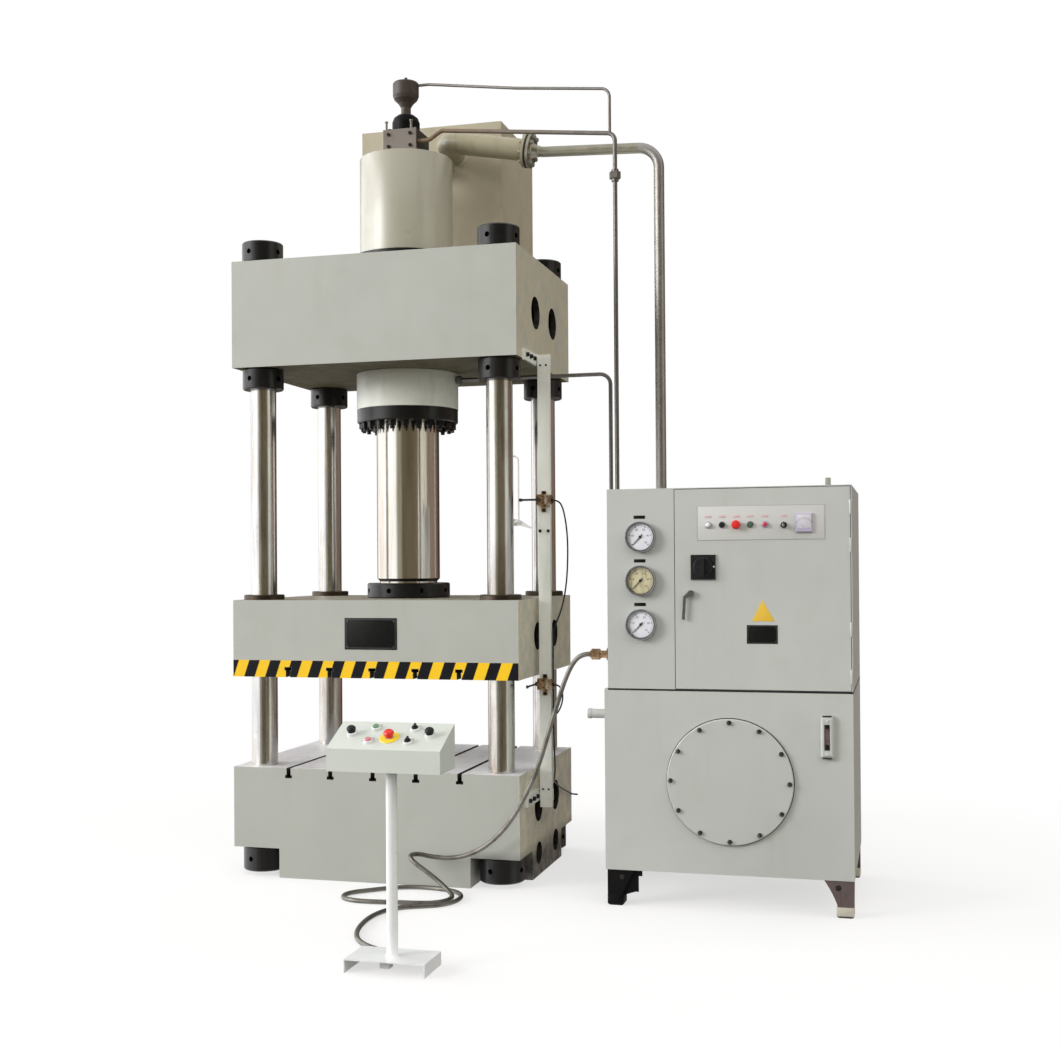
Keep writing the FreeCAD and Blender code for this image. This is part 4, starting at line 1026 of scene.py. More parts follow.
@dataclass
class SlideTape(Assembly):
    """The striped tape along the slide's lower front edge, cut out round the T-slots."""

    half_width: float = BOX_HALF_WIDTH
    front: float = -BOX_HALF_DEPTH
    bottom: float = SLIDE_FOOT
    band_height: float = 0.084
    pitch: float = 0.1154
    lean: float = 0.030
    first_stripe: float = -0.7625
    stripes: int = 15
    slot_neck: float = 0.012
    slot_head: float = 0.0195
    slot_rows: tuple[float, float] = (0.0335, 0.0508)
    yellow_thick: float = 0.0006
    black_thick: float = 0.0005
    overrun: float = 0.001

    def rectangles(self) -> list[Area]:
        """Divide the tape into rectangles round the slot ends.

        Returns:
            Each rectangle's left, right, low and high side.
        """
        top = self.bottom + self.band_height
        low, high = (self.bottom + row for row in self.slot_rows)
        areas = [(-self.half_width, self.half_width, high, top)]
        for half_gap, base, crest in ((self.slot_neck, self.bottom, low), (self.slot_head, low, high)):
            edges = [-self.half_width]
            for centre in SLOT_CENTRES:
                edges += [centre - half_gap, centre + half_gap]
            edges.append(self.half_width)
            areas += [(left, right, base, crest) for left, right in zip(edges[::2], edges[1::2])]
        return areas

    def stripe(self, centre: float) -> list[tuple[float, float]]:
        """Draw one leaning black stripe, a little over the tape's edges.

        Args:
            centre: Its middle.

        Returns:
            Its corners as (x, z).
        """
        half, shift = self.pitch / 4, self.lean / 2
        low, high = self.bottom - self.overrun, self.bottom + self.band_height + self.overrun
        return [(centre - half - shift, low), (centre + half - shift, low),
                (centre + half + shift, high), (centre - half + shift, high)]

    def clipped_stripe(self, shape: Shape, centre: float, area: Area) -> None:
        """Add one stripe as far as it lies in a rectangle of the tape.

        Args:
            shape: The mesh that takes it.
            centre: The stripe's middle.
            area: The rectangle: left, right, low, high.
        """
        left, right, low, high = area
        part = bmesh.new()
        face = self.front - self.yellow_thick
        part.faces.new([part.verts.new((x, face, z)) for x, z in self.stripe(centre)])
        for point, outward in ((RIGHT * left, -RIGHT), (RIGHT * right, RIGHT),
                               (UP * low, -UP), (UP * high, UP)):
            bmesh.ops.bisect_plane(part, geom=part.verts[:] + part.edges[:] + part.faces[:], plane_co=point,
                                   plane_no=outward, clear_outer=True)
        if part.faces:
            made = bmesh.ops.extrude_face_region(part, geom=part.faces[:])
            moved = [g for g in made["geom"] if isinstance(g, bmesh.types.BMVert)]
            bmesh.ops.translate(part, vec=FORWARD * self.black_thick, verts=moved)
            shape.take(part)
        else:
            part.free()

    def build(self) -> None:
        """Lay the tape."""
        yellow, black = Shape(), Shape()
        for left, right, low, high in self.rectangles():
            yellow.block((left, self.front - self.yellow_thick, low), (right, self.front, high))
            for i in range(self.stripes):
                self.clipped_stripe(black, self.first_stripe + i * self.pitch, (left, right, low, high))
        self.wardrobe.fit(yellow, "hazard_tape_yellow", "yellow_tape", SLIDE, "body_paint")
        self.wardrobe.fit(black, "hazard_tape_black", "black_tape", SLIDE, "body_paint")


@dataclass
class Pipework(Assembly):
    """Flange bolts, weld beads, roof collar and wall fittings of the pipes, and the valve block's screws."""

    flange_face: Point = (0.613, 0.150, 3.760)
    fall: Point = (0.98431, 0.0, -0.17645)
    thickness: float = 0.018
    gasket: float = 0.005
    flange_radius: float = 0.091
    bolt_circle: float = 0.072
    bolts: int = 8
    bolt_flats: float = 0.021
    neck_end: float = 0.034
    tank_outlet: Point = (0.150, 0.400, 3.843)
    roof: Point = (1.330, 0.150, 1.905)
    collar: Profile = ((0.0275, 0), (0.045, 0), (0.045, 0.006), (0.034, 0.008), (0.0275, 0.020))
    collar_thick: float = 0.006
    collar_circle: float = 0.0385
    collar_screw: float = 0.0045
    fitting_length: float = 0.021
    wall_fittings: tuple[tuple[Point, float], ...] = (
        ((1.200, -0.150, 1.760), 0.042), ((1.200, 0.0, 1.700), 0.040))
    block_top: float = 3.852
    block_front: float = -0.103
    top_screws: Spans = ((-0.068, 0.068), (-0.062, 0.078))
    front_screws: Spans = ((-0.060, 0.060), (3.762, 3.825))

    def build(self) -> None:
        """Fit everything."""
        axis, near = Vector(self.fall), Vector(self.flange_face)
        far = near + axis * (2 * self.thickness + self.gasket)
        self.flange(axis, near, far)
        self.beads(axis, near, far)
        self.collars()
        self.block_screws()

    def flange(self, axis: Vector, near: Vector, far: Vector) -> None:
        """Fit the bolts, and a dark band over the gasket's edge and the flanges' rims next to it: the gasket,
        and painted shade of the gap between the two flanges.

        Args:
            axis: Which way the pipe runs.
            near: Middle of the first flange's outer face.
            far: Middle of the second one's.
        """
        side = axis.cross(BACK).normalized()
        heads, nuts = Shape(), Shape()
        for at in circle(near, self.bolt_circle, self.bolts, side, BACK):
            heads.bolt(at, -axis, self.bolt_flats)
        for at in circle(far, self.bolt_circle, self.bolts, side, BACK):
            nuts.bolt(at, axis, self.bolt_flats)
        self.wardrobe.fit(heads, "flange_heads", "fill_paint_and_shade", FRAME, "black_oxide")
        self.wardrobe.fit(nuts, "flange_nuts", "lug_grey", FRAME, "black_oxide")
        radius = self.flange_radius
        section = bar_ring(radius - 0.004, radius + 0.0008, -0.003, self.gasket + 0.003)
        band = Shape().turned(section, near + axis * self.thickness, axis, 64)
        self.wardrobe.fit(band, "flange_gasket_gap_shade", "rubber_seal")

    def beads(self, axis: Vector, near: Vector, far: Vector) -> None:
        """Lay the weld beads where the wide pipes meet the flanges, the neck and the tank.

        Args:
            axis: Which way the pipe runs.
            near: Middle of the first flange's outer face.
            far: Middle of the second one's.
        """
        beads = Shape()
        for at, way, radius, reach, crest, height in (
                (near, axis, 0.057, 0.008, 0, -0.009), (far, axis, 0.0445, 0.0055, 0, 0.006),
                (far + axis * self.neck_end, axis, 0.0265, 0.0045, 0.003, 0.007),
                (self.tank_outlet, FORWARD, 0.057, 0.011, 0, 0.011)):
            beads.turned([(radius, 0), (radius + reach, crest), (radius, height)], at, way)
        self.wardrobe.fit(beads, "pipe_weld_beads", "tank_paint_and_shade", FRAME, "body_paint")

    def collars(self) -> None:
        """Fit the collar on the cabinet's roof and the thin pipes' two hexagons on its left wall."""
        collars = Shape().turned(self.collar, self.roof, UP)
        for at in circle(Vector(self.roof) + UP * self.collar_thick, self.collar_circle, 4, RIGHT, BACK):
            collars.cap_screw(at, UP, self.collar_screw)
        for wall, flats in self.wall_fittings:
            collars.hexagon(wall, RIGHT, flats, self.fitting_length)
        self.wardrobe.fit(collars, "pipe_collars", "plated_steel", FRAME, "plated_steel")

    def block_screws(self) -> None:
        """Fit the socket screws on the valve block's top and front."""
        screws = Shape()
        for x, y in itertools.product(*self.top_screws):
            screws.cap_screw((x, y, self.block_top), UP, 0.014)
        for x, z in itertools.product(*self.front_screws):
            screws.cap_screw((x, self.block_front, z), FORWARD, 0.009)
        self.wardrobe.fit(screws, "block_screws", "black_oxide", FRAME, "black_oxide")


@dataclass
class Barrel(Assembly):
    """The forged cylinder in its place, with the shallow fall of its top that hides behind the rim."""

    bore: float = 0.172
    shoulder: float = 0.268
    radius: float = 0.245
    groove: float = 0.222
    flat: float = 0.140
    foot: float = 2.383
    seat: float = 2.570
    ring_foot: float = 3.110
    ring_top: float = 3.195
    rim: float = 3.704
    top: float = 3.735
    ceiling: float = 3.600
    lip: tuple[float, float] = (0.0015, 0.0025)

    def build(self) -> None:
        """Turn the cylinder."""
        inward, upward = self.lip
        outline = [(0, self.top), (self.flat, self.top), (self.radius - inward, self.rim + upward),
                   (self.radius, self.rim), (self.radius, self.ring_top), (self.groove, self.ring_top),
                   (self.groove, self.ring_foot), (self.radius, self.ring_foot), (self.radius, self.seat),
                   (self.shoulder, self.seat), (self.shoulder, self.foot), (self.bore, self.foot),
                   (self.bore, self.ceiling), (0, self.ceiling)]
        turned = Shape().turned(outline, steps=96)
        barrel = self.wardrobe.fit(turned, "cylinder_barrel", "cylinder_paint_and_shade", FRAME, "body_paint")
        # Lighter neck paint with painted light on it.
        self.wardrobe.repaint(barrel, "neck_paint_and_light", lambda at: at.z < self.seat - 0.001)
        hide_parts("main_cylinder")


@dataclass
class GlandStuds(Assembly):
    """Ring of stud ends with washers and nuts that hangs under the gland."""

    ring_radius: float = 0.236
    studs: int = 22
    flats: float = 0.036
    washer: float = 0.004
    nut: float = 0.027
    stud_start: float = 0.030
    stud_radius: float = 0.011
    stud_length: float = 0.016

    def build(self) -> None:
        """Fit the studs in the plain ones' place."""
        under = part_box("gland_ring")[0][2]
        shape = Shape()
        for at in circle((0, 0, under), self.ring_radius, self.studs, RIGHT, BACK):
            shape.rod(at, -UP, self.flats * 0.62, self.washer, 0.0008, 20)
            shape.hexagon(at - UP * self.washer, -UP, self.flats, self.nut)
            shape.rod(at - UP * self.stud_start, -UP, self.stud_radius, self.stud_length, 0.002, 14)
        ring = self.wardrobe.fit(shape, "gland_studs", "black_oxide", FRAME, "black_oxide")
        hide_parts("gland_bolts")


@dataclass
class RailBolts(Assembly):
    """Bolts of the limit-switch rail on the press frame."""

    side: float = 0.764
    feet: Spans = ((2.590, -0.030), (0.410, 0.030))
    side_rows: tuple[float, ...] = (-0.400, -0.330, -0.260)
    angle_front: float = -0.215
    rail_front: float = -0.220
    joint_height: float = 1.730

    def build(self) -> None:
        """Fit the bolts."""
        bolts = Shape()
        for z, to_rail in self.feet:
            for y in self.side_rows:
                bolts.bolt((self.side, y, z), RIGHT, FLATS_M12)
            for x in (0.785, 0.815):
                bolts.bolt((x, self.angle_front, z + to_rail), FORWARD, FLATS_M6)
        for x in (0.779, 0.821):
            bolts.bolt((x, self.rail_front, self.joint_height), FORWARD, FLATS_M8)
        self.wardrobe.fit(bolts, "rail_bolts", "black_oxide", FRAME, "black_oxide")


@dataclass
class LimitSwitches(Assembly):
    """Covers and screws of the two limit switches on the rail."""

    heights: tuple[float, float] = (1.884, 0.968)
    front: float = -0.274
    cover_lift: float = 0.002
    cover_back: float = -0.2235
    cover_sides: tuple[float, float] = (0.8125, 0.8475)
    cover_half: float = 0.0245
    plate_front: float = -0.224
    gland_depth: float = -0.248
    screw_rows: tuple[float, float] = (-0.017, 0.017)
    plate_screws: tuple[float, float] = (0.779, 0.805)
    cover_screw: float = 0.830
    bolt_rows: tuple[float, float] = (-0.050, 0.038)
    bolt_line: float = 0.800

    def build(self) -> None:
        """Fit the covers and the screws."""
        covers, screws = Shape(), Shape()
        left, right = self.cover_sides
        cover_front = self.front + self.cover_lift
        for z in self.heights:
            foot, head = z - self.cover_half, z + self.cover_half
            covers.block((left, cover_front, foot), (right, self.cover_back, head), 0.003)
            for row in self.screw_rows:
                for x in self.plate_screws:
                    screws.cap_screw((x, self.front, z + row), FORWARD, 0.0035)
                screws.cap_screw((self.cover_screw, cover_front, z + row), FORWARD, 0.003)
            for row in self.bolt_rows:
                screws.bolt((self.bolt_line, self.plate_front, z + row), FORWARD, FLATS_M8)
            screws.hexagon((right, self.gland_depth, z - 0.004), RIGHT, FLATS_M12, 0.009)
        self.wardrobe.fit(covers, "switch_covers", "switch_shell")
        self.wardrobe.fit(screws, "switch_screws", "black_oxide", FRAME, "black_oxide")


@dataclass
class Gauges(Assembly):
    """Dials, scales, numbers and glasses of the three pressure gauges."""

    x: float = 1.380
    face: float = -0.720
    heights: tuple[float, float, float] = (1.685, 1.486, 1.287)
    bore: float = 0.007
    dial_radius: float = 0.0595
    dial_thick: float = 0.0008
    glass_lift: float = 0.0085
    glass_thick: float = 0.0018
    sweep: float = 270.0
    first_angle: float = 225.0
    divisions: int = 50
    divisions_per_number: int = 10
    number_circle: float = 0.036
    number_size: float = 0.0135
    number_lift: float = 0.0009
    mark_end: float = 0.004
    long_mark: tuple[float, float] = (0.014, 0.0013)
    short_mark: tuple[float, float] = (0.009, 0.0006)
    ink_thick: float = 0.0002
    strip: Area = (-0.033, 0.020, 0.083, 0.098)
    strip_thick: float = 0.0012

    def direction(self, share: float) -> Vector:
        """Return the way a share of the sweep points, 0 at the scale's start and 1 at its end."""
        return dial_way(self.first_angle - share * self.sweep)

    def build(self) -> None:
        """Fit the dials, marks, numbers, glasses and the blank strips over them."""
        white, brown, marks, numbers, glasses, strips = (Shape() for _ in range(6))
        section = bar_ring(self.bore, self.dial_radius, 0, self.dial_thick)
        left, right, foot, head = self.strip
        for z, dial in zip(self.heights, (white, brown, white)):
            centre = Vector((self.x, self.face, z))
            dial.turned(section, centre, FORWARD)
            self.scale(marks, centre + FORWARD * self.dial_thick)
            self.numbers(numbers, centre + FORWARD * self.number_lift)
            lifted = centre + FORWARD * self.glass_lift
            glasses.rod(lifted, FORWARD, self.dial_radius, self.glass_thick, sides=48)
            strips.block((self.x + left, CABINET_FRONT - self.strip_thick, z + foot),
                         (self.x + right, CABINET_FRONT, z + head), 0.0005)
        self.wardrobe.fit(white, "gauge_dials_white", "dial_white", FRAME, "gauge_case")
        self.wardrobe.fit(brown, "gauge_dial_stained", "dial_brown", FRAME, "gauge_case")
        self.wardrobe.fit(marks, "gauge_marks", "dial_ink", FRAME, "pointer")
        self.wardrobe.fit(numbers, "gauge_numbers", "dial_ink", FRAME, "pointer")
        self.wardrobe.fit(glasses, "gauge_glasses", "dial_glass").visible_shadow = False
        self.wardrobe.fit(strips, "gauge_strips", "plate_black")

    def scale(self, shape: Shape, centre: Vector) -> None:
        """Add one dial's scale, with a long mark at every number.

        Args:
            shape: The mesh that takes it.
            centre: The middle of the dial's face.
        """
        for i in range(self.divisions + 1):
            long = i % self.divisions_per_number == 0
            start, half = self.long_mark if long else self.short_mark
            reach = (self.dial_radius - start, self.dial_radius - self.mark_end)
            shape.tick(centre, self.direction(i / self.divisions), reach, half, self.ink_thick)

    def numbers(self, shape: Shape, centre: Vector) -> None:
        """Add one dial's plain numbers.

        Args:
            shape: The mesh that takes them.
            centre: The dial's middle, just over its face.
        """
        count = self.divisions // self.divisions_per_number
        for i in range(count + 1):
            text = bpy.data.curves.new("number", "FONT")
            text.body = str(i * 10)
            text.size = self.number_size
            text.align_x = "CENTER"
            text.align_y = "CENTER"
            text.extrude = 0.0001
            holder = bpy.data.objects.new("number", text)
            bpy.context.scene.collection.objects.link(holder)
            evaluated = holder.evaluated_get(bpy.context.evaluated_depsgraph_get())
            mesh = bpy.data.meshes.new_from_object(evaluated)
            at = centre + self.direction(i / count) * self.number_circle
            mesh.transform(Matrix.Translation(at) @ Matrix.Rotation(math.pi / 2, 4, "X"))
            shape.mesh.from_mesh(mesh)
            bpy.data.meshes.remove(mesh)
            bpy.data.objects.remove(holder)


class Station(Enum):
    """How far right each control of the door's strip stands."""

    WHITE_LAMP = 1.687
    BLACK_BUTTON = 1.750
    STOP_MUSHROOM = 1.814
    GREEN_BUTTON = 1.876
    RED_LAMP = 1.941
    KEY_SELECTOR = 2.024


@dataclass
class ControlStrip(Assembly):
    """The printed strip on the door with its controls' bezels, lenses, bare name strips and key."""

    front: float = CABINET_FRONT
    area: Area = (1.637, 2.202, 1.667, 1.822)
    row: float = 1.735
    key_row: float = 1.731
    bezel: tuple[float, float] = (0.0115, 0.0155)
    mushroom_bezel: tuple[float, float] = (0.0148, 0.0185)
    lens: Profile = ((0, 0.021), (0.006, 0.0205), (0.0095, 0.018), (0.0108, 0.014), (0.0108, 0.0085),
                     (0.009, 0.008))
    # White dot beside the isolator's knob: a painted highlight of its rim.
    switch_glint: Point = (1.7132, CABINET_FRONT - 0.0118, 1.548)
    name_half: float = 0.015
    name_rows: tuple[float, float] = (0.032, 0.043)
    bezel_shoulder: float = 0.0035
    bezel_tall: float = 0.005

    def build(self) -> None:
        """Fit the strip and all that stands on it."""
        left, right, low, high = self.area
        sheet = Shape().block((left, self.front - 0.0016, low), (right, self.front, high), 0.0006)
        self.wardrobe.fit(sheet, "control_strip", "strip_print", DOOR)
        rim = Shape().border(self.area, 0.003, self.front - 0.0022, self.front - 0.001, 0.0003)
        self.wardrobe.fit(rim, "control_strip_rim", "strip_rim", DOOR)
        self.bezels_and_names()
        for station, name, finish in ((Station.WHITE_LAMP, "lamp_lens_white", "white_lens"),
                                      (Station.RED_LAMP, "lamp_lens_red", "red_lens")):
            lens = Shape().turned(self.lens, (station.value, self.front, self.row), FORWARD, 28)
            self.wardrobe.fit(lens, name, finish, DOOR)
        self.key()
        # A white dot beside the isolator's knob: a painted highlight.
        mark = Shape().rod(self.switch_glint, FORWARD, 0.0045, 0.0012, 0.0003, 20)
        self.wardrobe.fit(mark, "switch_glint", "white_lens", DOOR)

    def bezels_and_names(self) -> None:
        """Fit each control's bezel and the bare name strip over it."""
        names, bezels = Shape(), Shape()
        foot, head = (self.row + row for row in self.name_rows)
        for station in Station:
            x = station.value
            names.block((x - self.name_half, self.front - 0.0024, foot),
                        (x + self.name_half, self.front - 0.001, head), 0.0003)
            bore, wide = self.mushroom_bezel if station is Station.STOP_MUSHROOM else self.bezel
            height = self.key_row if station is Station.KEY_SELECTOR else self.row
            section = [(bore, 0), (wide, 0), (wide, self.bezel_shoulder), (wide - 0.0015, self.bezel_tall),
                       (bore, self.bezel_tall), (bore, 0)]
            bezels.turned(section, (x, self.front - 0.0012, height), FORWARD, 32)
        self.wardrobe.fit(names, "control_names", "label_pink", DOOR)
        self.wardrobe.fit(bezels, "control_bezels", "gauge_case", DOOR, "gauge_case")

    def key(self) -> None:
        """Put the key in its selector: a washer, a blade and a round grip."""
        x, z = Station.KEY_SELECTOR.value, self.key_row
        key = Shape().rod((x, self.front - 0.0245, z), FORWARD, 0.0065, 0.002, 0.0004, 24)
        key.block((x - 0.001, self.front - 0.037, z - 0.004), (x + 0.001, self.front - 0.0262, z + 0.004),
                  0.0003)
        key.rod((x - 0.001, self.front - 0.042, z), RIGHT, 0.0085, 0.002, 0.0004, 24)
        self.wardrobe.fit(key, "selector_key", "plated_steel", "key_selector_body", "plated_steel")


@dataclass
class Meter(Assembly):
    """Window, scale and needle of the square meter on the door."""

    left: float = 2.084
    right: float = 2.143
    foot: float = 1.716
    head: float = 1.776
    face: float = CABINET_FRONT - 0.0172
    back: float = CABINET_FRONT - 0.0155
    pivot: tuple[float, float] = (2.1135, 1.722)
    first_angle: float = 150
    step: float = 10
    marks: int = 13
    mark_start: float = 0.034
    mark_end: float = 0.041
    long_mark_end: float = 0.044
    needle_angle: float = 140
    needle: float = 0.038

    def build(self) -> None:
        """Fit the window, the scale and the needle."""
        window = Shape().block((self.left, self.face, self.foot), (self.right, self.back, self.head), 0.0006)
        self.wardrobe.fit(window, "meter_window", "dial_white", DOOR)
        x, z = self.pivot
        pivot = Vector((x, self.face, z))
        scale = Shape()
        for i in range(self.marks):
            reach = (self.mark_start, self.mark_end if i % 3 else self.long_mark_end)
            scale.tick(pivot, dial_way(self.first_angle - i * self.step), reach, 0.0005, 0.0003)
        way = dial_way(self.needle_angle)
        across = Vector((-way.z, 0, way.x)) * 0.0006
        scale.prism([pivot + across, pivot - across, pivot + way * self.needle], FORWARD * 0.0006)
        self.wardrobe.fit(scale, "meter_scale", "dial_ink", DOOR, "pointer")


@dataclass
class CabinetTrim(Assembly):
    """The door's bare triangle, its hinges and seals, and the cabinet's roof lug, gasket and locknut."""

    front: float = CABINET_FRONT
    triangle: Profile = ((1.8794, 1.3036), (1.9805, 1.3036), (1.9266, 1.3974))
    hinge_heights: tuple[float, ...] = (1.806, 1.639, 1.267, 1.060)
    hinge_line: float = 2.3125
    hinge_half: float = 0.032
    door_seals: Spans = ((1.5325, 1.5347), (2.3113, 2.3138))
    door_span: tuple[float, float] = (0.998, 1.897)
    seam: tuple[float, float] = (0.9858, 0.9942)
    seam_bars: tuple[Area, ...] = (
        (1.2216, -0.7005, 2.3184, -0.699), (1.2216, 0.199, 2.3184, 0.2005),
        (1.2216, -0.699, 1.223, 0.199), (2.317, -0.699, 2.3184, 0.199))
    lug: tuple[Point, Point] = ((2.202, -0.650, 1.905), (2.226, -0.628, 1.9405))
    locknut: Point = (1.222, -0.670, 1.147)

    def build(self) -> None:
        """Fit everything."""
        sign = Shape().prism([(x, self.front, z) for x, z in self.triangle], FORWARD * 0.0012, 0.0004)
        self.wardrobe.fit(sign, "door_triangle", "yellow_blank", DOOR)
        barrels = Shape()
        for z in self.hinge_heights:
            foot = (self.hinge_line, self.front, z - self.hinge_half)
            barrels.rod(foot, UP, 0.0058, self.hinge_half * 2, 0.001, 24)
        self.wardrobe.fit(barrels, "door_hinges", "cabinet_paint", FRAME, "cabinet_paint")
        seals = Shape()
        foot, head = self.door_span
        for left, right in self.door_seals:
            seals.block((left, self.front + 0.001, foot), (right, self.front + 0.012, head))
        low, high = self.seam
        for left, near, right, far in self.seam_bars:
            seals.block((left, near, low), (right, far, high))
        self.wardrobe.fit(seals, "cabinet_seals", "rubber_seal")
        lug = Shape().block(*self.lug, 0.003)
        self.wardrobe.fit(lug, "roof_lug", "lug_grey", FRAME, "cabinet_paint")
        locknut = Shape().hexagon(self.locknut, -RIGHT, 0.050, 0.010)
        self.wardrobe.fit(locknut, "gland_locknut", "brass", FRAME, "brass")


@dataclass
class TankTrim(Assembly):
    """Manhole lid, level glass, stub's plug, painted shade in the legs' holes, webs and foot pads of the oil
    tank.
    """

    front: float = CABINET_FRONT
    manhole: Point = (1.776, -0.7, 0.583)
    manhole_radius: float = 0.283
    lid_thick: float = 0.018
    heads: int = 12
    head_flats: float = 0.018
    head_inset: float = 0.017
    level_x: float = 2.2055
    level_screws: tuple[float, float] = (0.722, 0.868)
    frame_ends: Spans = ((0.885, 0.8895), (0.7005, 0.705))
    glass_ends: Spans = ((0.7385, 0.762), (0.832, 0.8515))
    plug: Profile = ((0, 0.004), (0.0215, 0.004), (0.0235, 0.002), (0.0235, -0.012), (0.021, -0.012))
    stub: Point = (1.119, -0.640, 0.870)
    hole_height: float = 0.132
    hole_columns: tuple[float, float] = (1.279, 2.248)
    hole_faces: tuple[float, float] = (-0.688, 0.188)
    hole_shade_radius: float = 0.0129
    web: Profile = ((0.0, 0.1645), (0.159, 0.1645), (0.159, 0.137), (0.142, 0.137), (0.142, 0.065),
                    (0.128, 0.065), (0.078, 0.049), (0.0, 0.049))
    web_left: float = 1.213
    web_rows: tuple[float, float] = (-0.6855, 0.1795)
    web_thick: float = 0.006
    pad_rows: Spans = ((-0.6966, -0.6214), (0.1214, 0.1966))
    pad_span: tuple[float, float] = (0.0095, 0.0486)

    def build(self) -> None:
        """Fit everything."""
        self.lid()
        self.level()
        plug = Shape().turned(self.plug, self.stub, -RIGHT, 32)
        self.wardrobe.fit(plug, "stub_plug", "cabinet_paint", FRAME, "cabinet_paint")
        self.legs()
        self.pads()

    def lid(self) -> None:
        """Fit the manhole's gasket, and its lid and heads in the plain ones' place."""
        wide, thick = self.manhole_radius, self.lid_thick
        seal = Shape().turned(bar_ring(wide - 0.005, wide + 0.0035, 0, 0.003), self.manhole, FORWARD, 96)
        self.wardrobe.fit(seal, "manhole_gasket", "rubber_seal")
        outline = [(0, thick), (wide - 0.004, thick), (wide, thick - 0.004), (wide, 0.0005), (0, 0.0005)]
        turned = Shape().turned(outline, self.manhole, FORWARD, 96)
        lid = self.wardrobe.fit(turned, "manhole_lid", "cabinet_paint", FRAME, "cabinet_paint")
        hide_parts("manhole_cover")
        bolts = Shape()
        for at in circle(self.manhole, wide - self.head_inset, self.heads, RIGHT, UP, start=0):
            bolts.bolt(at + FORWARD * thick, FORWARD, self.head_flats)
        heads = self.wardrobe.fit(bolts, "manhole_heads", "lever_steel", FRAME, "plated_steel")
        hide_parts("cover_bolts")

    def level(self) -> None:
        """Fit the oil level's glass, its screws and its dark ends."""
        middle, front = self.level_x, self.front
        foot, head = self.glass_ends[0][0], self.glass_ends[1][1]
        glass = Shape().block((middle - 0.012, front - 0.0245, foot), (middle + 0.012, front - 0.0165, head),
                              0.003)
        self.wardrobe.fit(glass, "level_glass", "oil_glass")
        screws, ends = Shape(), Shape()
        for z in self.level_screws:
            screws.cap_screw((middle, front - 0.026, z), FORWARD, 0.0055)
        self.wardrobe.fit(screws, "level_screws", "bezel_pale", FRAME, "black_oxide")
        for low, high in self.frame_ends:
            ends.block((middle - 0.0195, front - 0.024, low), (middle + 0.0195, front, high), 0.0015)
        for low, high in self.glass_ends:
            ends.block((middle - 0.007, front - 0.0252, low), (middle + 0.007, front - 0.0165, high), 0.001)
        self.wardrobe.fit(ends, "level_ends", "black_oxide", FRAME, "black_oxide")

    def legs(self) -> None:
        """Fit dark discs in the legs' holes as painted shade, and the stepped webs of the two left legs."""
        hole_shades, webs = Shape(), Shape()
        for x in self.hole_columns:
            for y, way in zip(self.hole_faces, (FORWARD, BACK)):
                hole_shades.rod((x, y, self.hole_height), way, self.hole_shade_radius, 0.006, 0.001)
        self.wardrobe.fit(hole_shades, "leg_hole_shades", "rubber_seal")
        for y in self.web_rows:
            webs.prism([(self.web_left + over, y, z) for over, z in self.web], BACK * self.web_thick)
        self.wardrobe.fit(webs, "leg_webs", "black_paint")

    def pads(self) -> None:
        """Fit the foot pads, black on the left and pale on the right."""
        low, high = self.pad_span
        for left, right, name, finish in ((1.2124, 1.2876, "leg_pads_left", "black_paint"),
                                          (2.2394, 2.3146, "leg_pads_right", "pale_pad")):
            pads = Shape()
            for near, far in self.pad_rows:
                pads.block((left, near, low), (right, far, high), 0.001)
            self.wardrobe.fit(pads, name, finish, FRAME, "cabinet_paint")


@dataclass(frozen=True)
class Spot:
    """Where a control stands on the stand's sloping panel, and how wide and tall its bezel is."""

    across: float
    up_slope: float
    radius: float
    tall: float = 0.0105


PALM_SPOTS = (Spot(-0.161, 0.104, 0.0205, 0.0130), Spot(0.161, 0.104, 0.0205, 0.0130))
GREEN_SPOT = Spot(-0.076, 0.148, 0.0185)
NAMED_SPOTS = (GREEN_SPOT, Spot(-0.076, 0.054, 0.0185), Spot(0.086, 0.148, 0.0195),
               Spot(0.086, 0.054, 0.0195))


